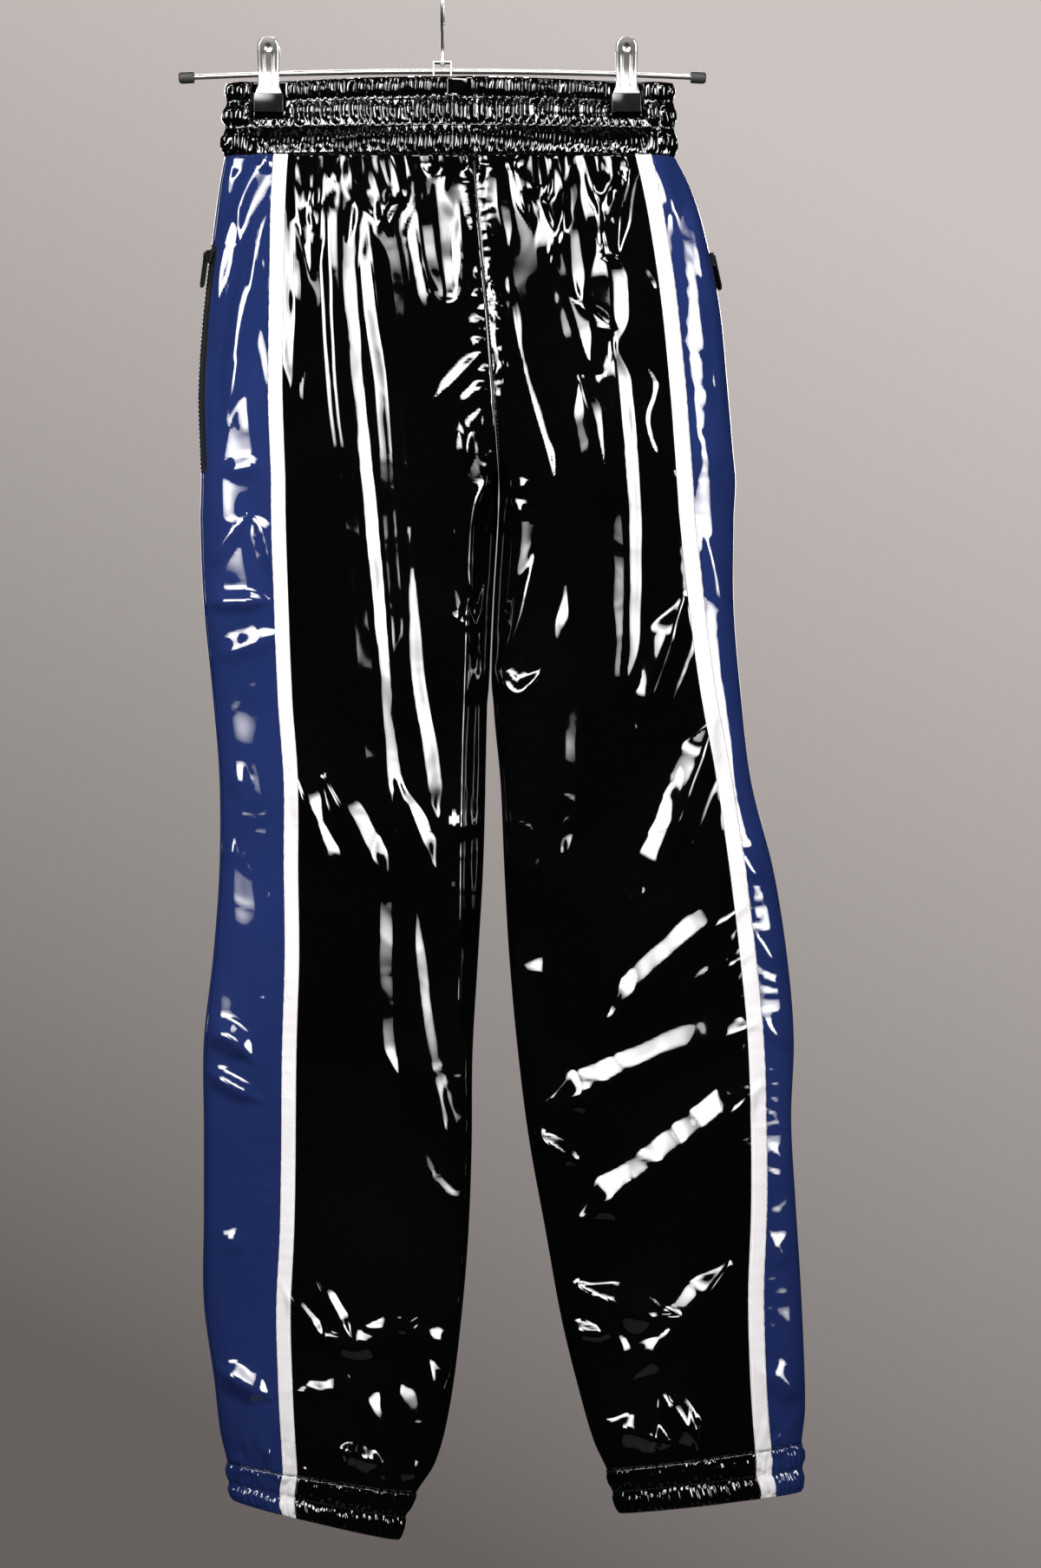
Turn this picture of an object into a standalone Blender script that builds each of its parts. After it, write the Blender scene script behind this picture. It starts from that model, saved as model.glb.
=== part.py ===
"""Elastic-waisted PVC track trousers hanging by their waistband from a clip hanger.

Front of the garment faces -Y, +X is to the viewer's right and +Z is up. The origin is the inside
top of the hook, where it hangs on its rail. Sizes are in millimetres and become metres in one place.
"""

from functools import lru_cache
from math import acos, copysign, cos, exp, hypot, pi, radians, sin

import bmesh
import bpy
from mathutils import Matrix, Vector

MM = 0.001

# Cloth
WALL = 1.5  # PVC with its seam allowances
SEAM_GAP = 0.3  # between neighbouring pieces
FIT = 0.3  # clearance of a hard part carried on another
TAPE_WALL = 1.0
TAPE_WIDTH = {"left": 10.4, "right": 11.6}  # the right one is seen squarer on
ROUNDNESS = 0.85  # 1 is an elliptical section, less is boxier
SIDE_SEAM_TURN = {"left": radians(12), "right": radians(-12)}  # in front of and behind the edge

# Heights
WAIST_SEAM_Z = -141.1
CROTCH_Z = -380.2
CROTCH_RISE = 62.0  # the height over which the centre seam curves in to the crotch
TORSO_LEVELS = (WAIST_SEAM_Z, -151, -164, -182, -203.5, -206.5, -230, -262, -296, -326, -350, -366,
                -374, -377.5, CROTCH_Z)
BLACK_COLUMNS = 8
BLUE_FRONT_COLUMNS = 2
BLUE_BACK_COLUMNS = 4
LEG_ROWS = 17
LEG_ROW_GROWTH = 1.12  # rows spread out below the crotch

# A row for each height, every size in millimetres
LEG_COLUMNS = ("outer_x", "outer_z", "inner_x", "inner_z", "tape_x", "front", "back", "outer_round",
               "inner_round")
LEFT_LEG = (
    (-160.6, -140.8, 23.0, -140.8, -117.8, 20.0, 20.0, 150, 30),
    (-164.5, -162.6, 24.3, -162.6, -119.0, 26.0, 27.0, 140, 30),
    (-168.3, -191.4, 26.9, -191.4, -119.7, 31.0, 33.0, 130, 30),
    (-175.4, -249.0, 32.0, -249.0, -120.3, 35.0, 38.0, 120, 30),
    (-179.8, -313.0, 37.1, -313.0, -121.0, 37.0, 41.0, 112, 32),
    (-178.6, -357.8, 40.3, -357.8, -119.7, 37.0, 41.0, 108, 36),
    (-177.9, -380.2, 41.6, -380.2, -119.0, 36.0, 40.0, 106, 40),
    (-178.6, -409.0, 40.3, -409.0, -119.0, 34.0, 38.0, 104, 48),
    (-176.0, -473.0, 36.5, -473.0, -117.1, 31.0, 34.0, 102, 66),
    (-169.6, -537.0, 33.9, -537.0, -114.6, 29.0, 31.0, 98, 84),
    (-164.5, -601.0, 32.0, -604.2, -110.1, 28.0, 29.0, 96, 96),
    (-164.5, -665.0, 30.1, -668.2, -110.1, 27.0, 28.0, 96, 98),
    (-169.0, -729.0, 26.2, -735.4, -109.4, 26.0, 26.0, 97, 98),
    (-176.0, -793.0, 22.4, -802.6, -111.4, 25.0, 25.0, 98, 99),
    (-176.0, -857.0, 21.8, -869.8, -112.0, 24.0, 24.0, 98, 99),
    (-176.0, -921.0, 19.2, -937.0, -113.0, 23.0, 23.0, 97, 97),
    (-176.0, -985.0, 13.4, -1004.2, -115.8, 22.5, 22.5, 94, 94),
    (-168.3, -1042.6, 5.1, -1065.0, -114.2, 22.0, 22.0, 86, 86),
    (-163.8, -1081.0, -5.1, -1103.4, -112.3, 20.0, 20.0, 78, 78),
    (-158.7, -1102.7, -19.2, -1125.8, -111.4, 16.0, 16.0, 68, 68),
    (-156.8, -1118.7, -28.2, -1145.0, -113.3, 15.0, 15.0, 62, 62),
    (-154.2, -1130.9, -32.6, -1160.3, -112.0, 15.0, 15.0, 59, 59),
)
RIGHT_LEG = (
    (171.5, -140.8, 23.0, -140.8, 147.2, 20.0, 20.0, 130, 30),
    (182.4, -162.6, 24.3, -162.6, 152.0, 26.0, 27.0, 130, 30),
    (192.0, -191.4, 26.9, -191.4, 157.4, 31.0, 33.0, 126, 30),
    (204.2, -249.0, 32.0, -249.0, 165.8, 35.0, 38.0, 120, 30),
    (210.6, -313.0, 37.1, -313.0, 172.2, 37.0, 41.0, 112, 32),
    (214.4, -357.8, 40.3, -357.8, 175.7, 37.0, 41.0, 106, 36),
    (216.3, -380.2, 41.6, -380.2, 177.3, 36.0, 40.0, 102, 40),
    (215.0, -409.0, 41.8, -409.0, 179.5, 34.0, 38.0, 98, 46),
    (215.0, -473.0, 38.2, -473.0, 186.6, 31.0, 34.0, 94, 62),
    (220.2, -537.0, 36.8, -537.0, 195.2, 29.0, 31.0, 92, 80),
    (227.8, -601.0, 42.6, -601.0, 207.0, 28.0, 29.0, 92, 90),
    (243.8, -665.0, 45.4, -665.0, 216.3, 27.0, 28.0, 98, 98),
    (254.1, -729.0, 49.0, -729.0, 224.0, 26.0, 26.0, 102, 102),
    (259.2, -789.8, 55.0, -796.2, 229.8, 25.0, 25.0, 101, 101),
    (257.3, -850.6, 63.4, -863.4, 232.0, 24.0, 24.0, 96, 96),
    (260.5, -911.4, 75.5, -930.6, 232.3, 23.0, 23.0, 92, 92),
    (264.3, -972.2, 87.7, -997.8, 230.1, 22.5, 22.5, 88, 88),
    (266.9, -1029.8, 101.1, -1052.2, 231.4, 22.0, 22.0, 82, 82),
    (267.5, -1065.0, 111.4, -1087.4, 233.6, 20.0, 20.0, 77, 77),
    (265.0, -1088.6, 121.0, -1108.5, 235.5, 16.0, 16.0, 71, 71),
    (265.0, -1105.9, 125.4, -1123.2, 236.2, 15.0, 15.0, 68, 68),
    (264.3, -1124.5, 130.6, -1140.5, 239.4, 15.0, 15.0, 65, 65),
)
LEGS = {"left": LEFT_LEG, "right": RIGHT_LEG}
CUFF_ROW = -3  # the table row where the cuff begins

# The largest folds: face, half width, height (negative is a trough) and the line it runs along (x, z)
FOLDS = (
    ("front", 9, 4.5, ((-76, -160), (-68, -317), (-34, -642))),
    ("front", 8, 4.0, ((-54, -195), (-38, -317), (-3, -632))),
    ("front", 9, -4.0, ((-62, -175), (-52, -317), (-22, -600))),
    ("front", 11, 4.0, ((-8, -165), (-8, -236), (10, -300))),
    ("front", 9, -3.5, ((10, -165), (14, -236))),
    ("front", 10, 4.5, ((34, -229), (67, -364), (85, -393))),
    ("front", 10, 4.5, ((74, -170), (88, -238), (104, -290), (121, -417))),
    ("front", 9, -4.0, ((92, -170), (112, -300), (128, -420))),
    ("front", 9, 4.5, ((113, -165), (125, -299), (136, -436), (132, -554))),
    ("front", 10, 4.5, ((92, -440), (102, -550), (98, -625))),
    ("front", 9, 4.0, ((36, -388), (24, -402), (20, -480))),
    ("front", 11, 3.5, ((66, -440), (50, -500))),
    ("front", 11, 3.5, ((-105, -600), (-72, -664))),
    ("front", 10, -3.5, ((-31, -659), (-30, -823))),
    ("front", 10, 4.0, ((-20, -669), (-8, -790), (8, -878))),
    ("front", 12, 4.5, ((173, -570), (147, -664))),
    ("front", 12, -3.5, ((116, -650), (134, -704), (179, -652))),
    ("front", 13, 4.5, ((133, -763), (170, -705), (212, -691))),
    ("front", 13, 4.5, ((91, -834), (140, -822), (212, -780))),
    ("front", 13, 4.5, ((111, -913), (150, -870), (224, -829))),
    ("front", 12, 4.0, ((-148, -175), (-156, -330))),
    ("front", 12, 3.5, ((-172, -478), (-122, -462))),
    ("front", 14, 4.0, ((-70, -1010), (10, -1030))),
    ("front", 14, 4.0, ((150, -1000), (215, -960))),
    ("back", 10, 4.0, ((-92, -165), (-88, -330), (-60, -560))),
    ("back", 10, -3.5, ((-66, -165), (-62, -330), (-36, -520))),
    ("back", 10, 4.5, ((-36, -165), (-30, -320), (2, -470))),
    ("back", 10, 4.5, ((70, -165), (82, -300), (70, -470))),
    ("back", 10, -3.5, ((98, -165), (110, -330), (112, -520))),
    ("back", 10, 4.0, ((128, -165), (140, -330), (146, -560))),
    ("back", 14, 4.5, ((-150, -640), (-60, -668), (20, -640))),
    ("back", 14, 4.0, ((-160, -715), (-70, -735))),
    ("back", 14, 4.5, ((65, -660), (140, -690), (225, -650))),
    ("back", 14, 4.0, ((90, -770), (170, -750), (240, -790))),
    ("back", 14, 4.0, ((-120, -900), (-20, -930))),
    ("back", 14, 4.0, ((120, -925), (220, -890))),
)

# Waistband: a ring with three elastic channels, from its top edge down
BAND_LEFT_X = -157.6
BAND_RIGHT_X = 168.6
BAND_TOP_Z = -86.6
BAND_BOTTOM_Z = -140.8
BAND_RISE = 3.0  # how far its middle stands above its ends
BAND_PINCH_Z = -110.0  # held flat by the clips above this
BAND_GATHERS = 80
BAND_FLARE = 1.6  # its lower edge is wider by this on each side
BAND_INNER_GAP = 0.3  # half the gap between its two layers under a clip
BAND_BELLY = 13.0  # half depth of its mouth between the clips
BAND_EAR = 4.5  # half depth of the loop outside each clip
BAND_ROWS = (  # height, thickness, how far the gathers stand in and out
    (BAND_TOP_Z, 1.8, 0.3),
    (-93.4, 3.0, 0.9),
    (-100.5, 1.8, 0.3),
    (-110.0, 3.0, 0.9),
    (-119.7, 1.8, 0.3),
    (-130.5, 3.2, 1.0),
    (BAND_BOTTOM_Z, 2.2, 0.4),
)
BAND_INNER_ROWS = (BAND_TOP_Z, BAND_PINCH_Z, BAND_BOTTOM_Z)
BAND_AT_CLIP = 2.4  # its thickness where a clip presses it

# Cuffs: two elastic channels
CUFF_ROWS = (  # place from its top edge to its hem, bulge, how far the gathers stand in and out
    (0.02, 0.2, 0.2),
    (0.26, 1.3, 0.8),
    (0.52, 0.3, 0.2),
    (0.77, 1.3, 0.8),
    (1.0, 0.3, 0.3),
)
CUFF_GATHERS = {"black": 16, "white": 2, "blue": 8}
CUFF_WALL = 1.8

# Zips in the side seams
ZIP_TOP_Z = -206.5
ZIP_BOTTOM_Z = -374.0
ZIP_HALF_WIDTH = 3.8
ZIP_COIL_HALF_WIDTH = 1.6
ZIP_COIL_HEIGHT = 1.0
SLIDER_DROP = 9.0  # from the zip's top to the slider's middle
SLIDER_SIZE = (7.6, 2.6, 9.0)  # across, thick, tall
BRIDGE_WIDTH = 2.4
BRIDGE_BORE = 2.0
BRIDGE_WALL = 0.8
PULL_SIZE = (6.4, 1.0, 24.0)
PULL_WINDOW = (3.0, 5.1)  # across, from the pivot down
PULL_AXIS_Y = FIT + SLIDER_SIZE[1] + BRIDGE_BORE / 2  # from the coil out to the pivot
PULL_AXIS_Z = 0.5

# Hanger
BAR_RADIUS = 1.9
BAR_HALF_LENGTH = 191.0
BAR_MIDDLE_Z = -77.8
BAR_DROOP = 4.8  # the ends hang lower than the middle by this
CAP_LENGTH = 11.5
CAP_RADIUS = 4.4
HOOK_WIRE_RADIUS = 1.4
HOOK_BEND_RADIUS = 26.0  # inside the hook
HOOK_TIP_ANGLE = radians(-28)
HOOK_STEM = ((0.0, -73.6), (0.0, -66.0), (-1.8, -59.0), (-9.0, -52.6))  # y, z
BRACKET_WIDTH = 14.0
BRACKET_DEPTH = 8.0
BRACKET_TOP_Z = -70.6
BRACKET_BOTTOM_Z = -82.4
BRACKET_SHEET = 1.1
CLIP_X = {"left": -128.0, "right": 135.7}
CLIP_SHEET = 1.2
CLIP_ROWS = (  # a lever's middle line (y, z) and its half width there
    (-9.6, -53.9, 4.2),
    (-9.3, -55.2, 6.2),
    (-8.7, -58.0, 7.5),
    (-7.0, -66.0, 7.7),
    (-4.6, -76.0, 7.7),
    (-4.2, -81.0, 7.7),
    (-4.6, -88.0, 8.0),
    (-4.9, -94.0, 9.6),
    (-4.9, -107.0, 10.0),
)
SLEEVE_SHEET = 0.9
SLEEVE_HALF_WIDTH = 10.7
SLEEVE_TOP_Z = -94.6
SLEEVE_BOTTOM_Z = -108.3
SPRING_RADIUS = 3.1
SPRING_HALF_LENGTH = 5.5

# Linear colour, roughness, metallic
FINISHES = {
    "pvc_black": ((0.003, 0.003, 0.003), 0.1, 0.0),
    "pvc_blue": ((0.02, 0.045, 0.19), 0.12, 0.0),
    "white_tape": ((0.86, 0.84, 0.86), 0.75, 0.0),
    "zip_black": ((0.01, 0.01, 0.011), 0.5, 0.0),
    "chrome": ((0.8, 0.8, 0.8), 0.08, 1.0),
    "rubber_black": ((0.012, 0.012, 0.012), 0.6, 0.0),
    "vinyl_sleeve": ((0.02, 0.02, 0.02), 0.2, 0.0),
}


def finish(name):
    """The material of a finish, made once."""
    material = bpy.data.materials.get(name)
    if material is None:
        colour, roughness, metallic = FINISHES[name]
        material = bpy.data.materials.new(name)
        material.use_nodes = True
        shader = material.node_tree.nodes["Principled BSDF"]
        shader.inputs["Base Color"].default_value = (*colour, 1.0)
        shader.inputs["Roughness"].default_value = roughness
        shader.inputs["Metallic"].default_value = metallic
    return material


def add_object(name, mesh_builder, finish_name, place=None):
    """A named object from a bmesh in millimetres, closed and facing out, with its own material."""
    bmesh.ops.scale(mesh_builder, vec=(MM, MM, MM), verts=mesh_builder.verts)
    bmesh.ops.recalc_face_normals(mesh_builder, faces=mesh_builder.faces)
    mesh = bpy.data.meshes.new(name)
    mesh_builder.to_mesh(mesh)
    mesh_builder.free()
    mesh.materials.append(finish(finish_name))
    mesh.shade_smooth()
    mesh.set_sharp_from_angle(angle=radians(40))
    made = bpy.data.objects.new(name, mesh)
    if place is not None:
        made.matrix_world = place
    bpy.context.scene.collection.objects.link(made)
    return made


def add_wall(name, outer, inner, finish_name, ring=False):
    """A closed wall between two skins of points, each a list of rows. Only a ring's skins may
    have unlike numbers of rows."""
    builder = bmesh.new()
    skins = [[[builder.verts.new(point) for point in row] for row in skin] for skin in (outer, inner)]
    columns = len(outer[0])
    steps = columns if ring else columns - 1
    for skin in skins:
        for upper, lower in zip(skin, skin[1:]):
            for c in range(steps):
                d = (c + 1) % columns
                builder.faces.new((upper[c], upper[d], lower[d], lower[c]))
    for end in (0, -1):
        for c in range(steps):
            d = (c + 1) % columns
            builder.faces.new((skins[0][end][c], skins[1][end][c], skins[1][end][d], skins[0][end][d]))
    if not ring:
        for side in (0, -1):
            for r in range(len(outer) - 1):
                builder.faces.new((skins[0][r][side], skins[0][r + 1][side],
                                   skins[1][r + 1][side], skins[1][r][side]))
    return add_object(name, builder, finish_name)


def smooth_step(value):
    """0 to 1 with level ends."""
    value = max(0.0, min(1.0, value))
    return value * value * (3 - 2 * value)


@lru_cache(maxsize=None)
def leg_row(side, level):
    """Every column of a leg's table at a height of its outer edge, on a smooth curve."""
    table = LEGS[side]
    heights = [row[1] for row in table]
    i = 0
    while i < len(table) - 2 and heights[i + 1] > level:
        i += 1
    span = heights[i + 1] - heights[i]
    t = (level - heights[i]) / span
    last = len(table) - 1
    values = {}
    for c, name in enumerate(LEG_COLUMNS):
        column = [row[c] for row in table]
        slopes = []
        for k in (i, i + 1):
            low, high = max(k - 1, 0), min(k + 1, last)
            slopes.append((column[high] - column[low]) / (heights[high] - heights[low]) * span)
        values[name] = (column[i] * (1 + 2 * t) * (1 - t) ** 2 + slopes[0] * t * (1 - t) ** 2
                        + column[i + 1] * t * t * (3 - 2 * t) - slopes[1] * t * t * (1 - t))
    return values


def seam_depth(level):
    """The centre seam's share of the full depth: 1 down the torso, then a U, and 0 from the crotch."""
    rise = max(0.0, min(1.0, (level - CROTCH_Z) / CROTCH_RISE))
    return (1 - (1 - rise) ** 2) ** (ROUNDNESS / 2)


def distance_to_line(x, z, line):
    """The distance in the front view from a point to a fold's line."""
    nearest = 1e9
    for (ax, az), (bx, bz) in zip(line, line[1:]):
        dx, dz = bx - ax, bz - az
        t = max(0.0, min(1.0, ((x - ax) * dx + (z - az) * dz) / (dx * dx + dz * dz)))
        nearest = min(nearest, hypot(x - ax - t * dx, z - az - t * dz))
    return nearest


def fold_height(face, x, z):
    """How far the folds lift the cloth at a point of the front or back view."""
    return sum(height * exp(-(distance_to_line(x, z, line) / width) ** 2)
               for side, width, height, line in FOLDS if side == face)


def skin_point(side, level, angle, inset=0.0):
    """A point of a leg's cloth. Angle 0 is the outer edge and pi the inner one, positive angles are
    in front, and the inset is how deep the point lies under the outer skin."""
    row = leg_row(side, level)
    seam = seam_depth(level)
    toward_centre = copysign(1, row["inner_x"] - row["outer_x"])
    outer_x = row["outer_x"] + toward_centre * inset
    inner_x = row["inner_x"] - toward_centre * (SEAM_GAP / 2 + inset * (1 - seam))
    across = (1 - cos(angle)) / 2
    x = outer_x + (inner_x - outer_x) * across
    z = level + (row["inner_z"] - level) * across
    from_outer = min(1.0, abs(x - outer_x) / (row["outer_round"] - inset))
    from_inner = min(1.0, abs(x - inner_x) / (row["inner_round"] - inset))
    bulge = (1 - (1 - from_outer) ** 2) ** (ROUNDNESS / 2)
    bulge *= (1 - (1 - seam ** (2 / ROUNDNESS)) * (1 - from_inner) ** 2) ** (ROUNDNESS / 2)
    face = "front" if sin(angle) > 0 else "back"
    depth = (row[face] - inset) * bulge + smooth_step(bulge / 0.6) * fold_height(face, x, z)
    return Vector((x, -copysign(max(depth, SEAM_GAP / 2), sin(angle)), z))


def angle_at_x(side, level, x):
    """The front angle whose point has this x."""
    row = leg_row(side, level)
    return acos(1 - 2 * (x - row["outer_x"]) / (row["inner_x"] - row["outer_x"]))


def angle_step(side, level, angle, distance):
    """The change of angle that moves a point this far along its section."""
    small = 0.01
    return distance * 2 * small / (skin_point(side, level, angle + small)
                                   - skin_point(side, level, angle - small)).length


def seam_angles(side, level):
    """The front angles of the tape's outer edge, the seam under it and the tape's inner edge."""
    row = leg_row(side, level)
    half = copysign(TAPE_WIDTH[side] / 2, row["inner_x"] - row["outer_x"])
    return [angle_at_x(side, level, row["tape_x"] + shift) for shift in (-half, 0.0, half)]


def panel_levels(side):
    """The heights of a leg's rows, from the waist seam to the cuff."""
    cuff_z = LEGS[side][CUFF_ROW][1]
    below = [CROTCH_Z + (cuff_z - CROTCH_Z) * (i / LEG_ROWS) ** LEG_ROW_GROWTH
             for i in range(1, LEG_ROWS + 1)]
    return list(TORSO_LEVELS) + below


def side_edge(side, level, face):
    """Where a side panel begins: at the side seam, or at the zip where there is one."""
    seam = SIDE_SEAM_TURN[side]
    sign = 1 if face == "front" else -1
    apart = SEAM_GAP / 2
    if ZIP_BOTTOM_Z <= level <= ZIP_TOP_Z:
        apart = ZIP_HALF_WIDTH
    return seam + sign * angle_step(side, level, seam, apart)


def spread(start, end, count):
    """Angles from start to end, halfway between even steps of width and even steps of angle."""
    low, high = cos(start), cos(end)
    angles = []
    for i in range(count + 1):
        by_width = acos(max(-1.0, min(1.0, low + (high - low) * i / count)))
        angles.append((by_width + start + (end - start) * i / count) / 2)
    return angles


def panel_angles(side, level, piece):
    """The angles of one row of a panel."""
    outer_edge, seam, inner_edge = seam_angles(side, level)
    gap = angle_step(side, level, seam, SEAM_GAP / 2)
    if piece == "front":
        return [seam + gap] + spread(inner_edge, pi, BLACK_COLUMNS)
    if piece == "back":
        return [-angle for angle in spread(seam + gap, pi, BLACK_COLUMNS + 1)]
    if piece == "side_front":
        start = side_edge(side, level, "front")
        step = (outer_edge - start) / BLUE_FRONT_COLUMNS
        return [start + step * i for i in range(BLUE_FRONT_COLUMNS + 1)] + [seam - gap]
    start = side_edge(side, level, "back")
    step = (gap - seam - start) / BLUE_BACK_COLUMNS
    return [start + step * i for i in range(BLUE_BACK_COLUMNS + 1)]


def add_panel(side, piece, finish_name):
    """One cut piece of a leg, from the waist seam to the cuff."""
    skins = []
    for inset in (0.0, WALL):
        skins.append([[skin_point(side, level, angle, inset) for angle in panel_angles(side, level, piece)]
                      for level in panel_levels(side)])
    return add_wall(f"{piece}_{side}", *skins, finish_name)


def add_tape(side):
    """The white tape over the front seam, made from the panels' own points, moved out."""
    skins = []
    for inset in (-SEAM_GAP - TAPE_WALL, -SEAM_GAP):
        skins.append([[skin_point(side, level, angle, inset) for angle in seam_angles(side, level)]
                      for level in panel_levels(side)])
    return add_wall(f"tape_{side}", *skins, "white_tape")


def clip_press(x):
    """1 where a clip presses the waistband, falling to 0 beside it."""
    reach = SLEEVE_HALF_WIDTH + 1.5
    return max(smooth_step((reach + 7 - abs(x - clip_x)) / 7) for clip_x in CLIP_X.values())


def band_half_depth(x, z, face):
    """Half the waistband's hollow at a place: pinched flat at the clips above, as deep as the
    panels at its lower edge."""
    left_x = BAND_LEFT_X
    right_x = BAND_RIGHT_X
    first = CLIP_X["left"]
    second = CLIP_X["right"]
    hold = SLEEVE_HALF_WIDTH + 1.5
    pinched = BAND_INNER_GAP
    if first + hold < x < second - hold:
        t = (x - first - hold) / (second - first - 2 * hold)
        pinched += BAND_BELLY * sin(pi * t)
    elif left_x < x < first - hold:
        pinched += BAND_EAR * sin(pi * (x - left_x) / (first - hold - left_x)) ** 0.7
    elif second + hold < x < right_x:
        pinched += BAND_EAR * sin(pi * (right_x - x) / (right_x - second - hold)) ** 0.7
    side = "left" if x < LEFT_LEG[0][2] else "right"
    row = leg_row(side, WAIST_SEAM_Z)
    inward = max(0.0, (x - row["outer_x"]) * (1 if side == "left" else -1) - WALL)
    bulge = (1 - (1 - min(1.0, inward / row["outer_round"])) ** 2) ** (ROUNDNESS / 2)
    opened = max(BAND_INNER_GAP, (row[face] - WALL) * bulge)
    share = max(0.0, (BAND_PINCH_Z - z) / (BAND_PINCH_Z - BAND_BOTTOM_Z))
    return pinched + (opened - pinched) * share


def resample(points, count):
    """Points at even distances along a closed line."""
    closed = points + [points[0]]
    lengths = [0.0]
    for a, b in zip(closed, closed[1:]):
        lengths.append(lengths[-1] + (b - a).length)
    even = []
    k = 0
    for i in range(count):
        target = lengths[-1] * i / count
        while lengths[k + 1] < target:
            k += 1
        t = (target - lengths[k]) / (lengths[k + 1] - lengths[k])
        even.append(closed[k].lerp(closed[k + 1], t))
    return even


def band_loop(z, count):
    """The waistband's inner line at a height, anticlockwise seen from above, from its left end."""
    share = (BAND_TOP_Z - z) / (BAND_TOP_Z - BAND_BOTTOM_Z)
    left_x = BAND_LEFT_X - BAND_FLARE * share + 0.2
    right_x = BAND_RIGHT_X + BAND_FLARE * share - 0.2
    fine = 400
    places = [left_x + (right_x - left_x) * (1 - cos(pi * i / fine)) / 2 for i in range(fine + 1)]
    front = [Vector((x, -band_half_depth(x, z, "front"), 0)) for x in places]
    back = [Vector((x, band_half_depth(x, z, "back"), 0)) for x in reversed(places)]
    return resample(front + back, count)


def band_rise(x):
    """The waistband's top edge stands highest in the middle."""
    middle = (BAND_LEFT_X + BAND_RIGHT_X) / 2
    return BAND_RISE * max(0.0, 1 - ((x - middle) / (BAND_RIGHT_X - middle)) ** 2)


def add_waistband():
    """The gathered ring; its inside is plain and its gathers stand in the outer points."""
    count = 2 * BAND_GATHERS
    outer = []
    for index, (z, thickness, gather) in enumerate(BAND_ROWS):
        loop = band_loop(z, count)
        points = []
        for k, point in enumerate(loop):
            along = (loop[(k + 1) % count] - loop[k - 1]).normalized()
            uneven = 0.75 + 0.25 * sin(2.7 * k + 1.9 * index)
            thick = thickness + gather * uneven * (-1) ** (k + index // 2)
            press = clip_press(point.x) * smooth_step((z - BAND_PINCH_Z + 6) / 5)
            thick += (BAND_AT_CLIP - thick) * press
            place = point + Vector((along.y, -along.x, 0)) * thick
            place.z = z + band_rise(point.x) * (z - BAND_BOTTOM_Z) / (BAND_TOP_Z - BAND_BOTTOM_Z)
            points.append(place)
        outer.append(points)
    inner = []
    for z in BAND_INNER_ROWS:
        share = (z - BAND_BOTTOM_Z) / (BAND_TOP_Z - BAND_BOTTOM_Z)
        inner.append([Vector((p.x, p.y, z + band_rise(p.x) * share)) for p in band_loop(z, count)])
    add_wall("waistband", outer, inner, "pvc_black", ring=True)


def cuff_span(side, level, colour):
    """The angles between which one colour of a cuff lies; past pi they run on round the back."""
    outer_edge, seam, inner_edge = seam_angles(side, level)
    gap = angle_step(side, level, seam, SEAM_GAP / 2)
    if colour == "black":
        return inner_edge + gap, 2 * pi - seam - gap
    if colour == "white":
        return outer_edge + gap, inner_edge - gap
    return gap - seam, outer_edge - gap


def add_cuff(side, colour):
    """One colour of a cuff: two elastic channels, gathered in its outer points."""
    table = LEGS[side]
    top_z = table[CUFF_ROW][1] - SEAM_GAP
    hem_z = table[-1][1]
    columns = 2 * CUFF_GATHERS[colour]
    outer = []
    inner = []
    for index, (place, bulge, gather) in enumerate(CUFF_ROWS):
        level = top_z + (hem_z - top_z) * place
        start, end = cuff_span(side, level, colour)
        outer_row = []
        inner_row = []
        for k in range(columns + 1):
            angle = start + (end - start) * k / columns
            uneven = 0.75 + 0.25 * sin(2.3 * k + 1.7 * index)
            out = bulge + gather * uneven * (-1) ** (k + index // 2)
            outer_row.append(skin_point(side, level, angle, -out))
            inner_row.append(skin_point(side, level, angle, CUFF_WALL))
        outer.append(outer_row)
        inner.append(inner_row)
    add_wall(f"cuff_{colour}_{side}", outer, inner, f"pvc_{colour}" if colour != "white" else "white_tape")


def add_zip(side):
    """A closed zip in the side seam: its two tapes with the coil standing up between them."""
    levels = [level for level in panel_levels(side) if ZIP_BOTTOM_Z <= level <= ZIP_TOP_Z]
    seam = SIDE_SEAM_TURN[side]
    half = ZIP_HALF_WIDTH - SEAM_GAP
    coil = ZIP_COIL_HALF_WIDTH
    section = ((-half, 0.2), (-coil, 0.2), (-coil * 0.6, -ZIP_COIL_HEIGHT), (coil * 0.6, -ZIP_COIL_HEIGHT),
               (coil, 0.2), (half, 0.2))
    outer = []
    inner = []
    for level in levels:
        steps = [(seam + angle_step(side, level, seam, distance), inset) for distance, inset in section]
        outer.append([skin_point(side, level, angle, inset) for angle, inset in steps])
        inner.append([skin_point(side, level, angle, WALL - 0.2) for angle, inset in steps])
    add_wall(f"zip_{side}", outer, inner, "zip_black")


def zip_place(side):
    """The slider's place on the coil: X across the zip, Y out of the cloth and Z up along it."""
    level = ZIP_TOP_Z - SLIDER_DROP
    seam = SIDE_SEAM_TURN[side]
    small = 0.02
    point = skin_point(side, level, seam, -ZIP_COIL_HEIGHT)
    across = skin_point(side, level, seam + small) - skin_point(side, level, seam - small)
    up = skin_point(side, level + 2, seam) - skin_point(side, level - 2, seam)
    across.normalize()
    out = up.cross(across).normalized()
    if out.x * point.x < 0:
        out = -out
    across = out.cross(up).normalized()
    place = Matrix((across, out, across.cross(out))).transposed().to_4x4()
    place.translation = point * MM
    return place


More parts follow.
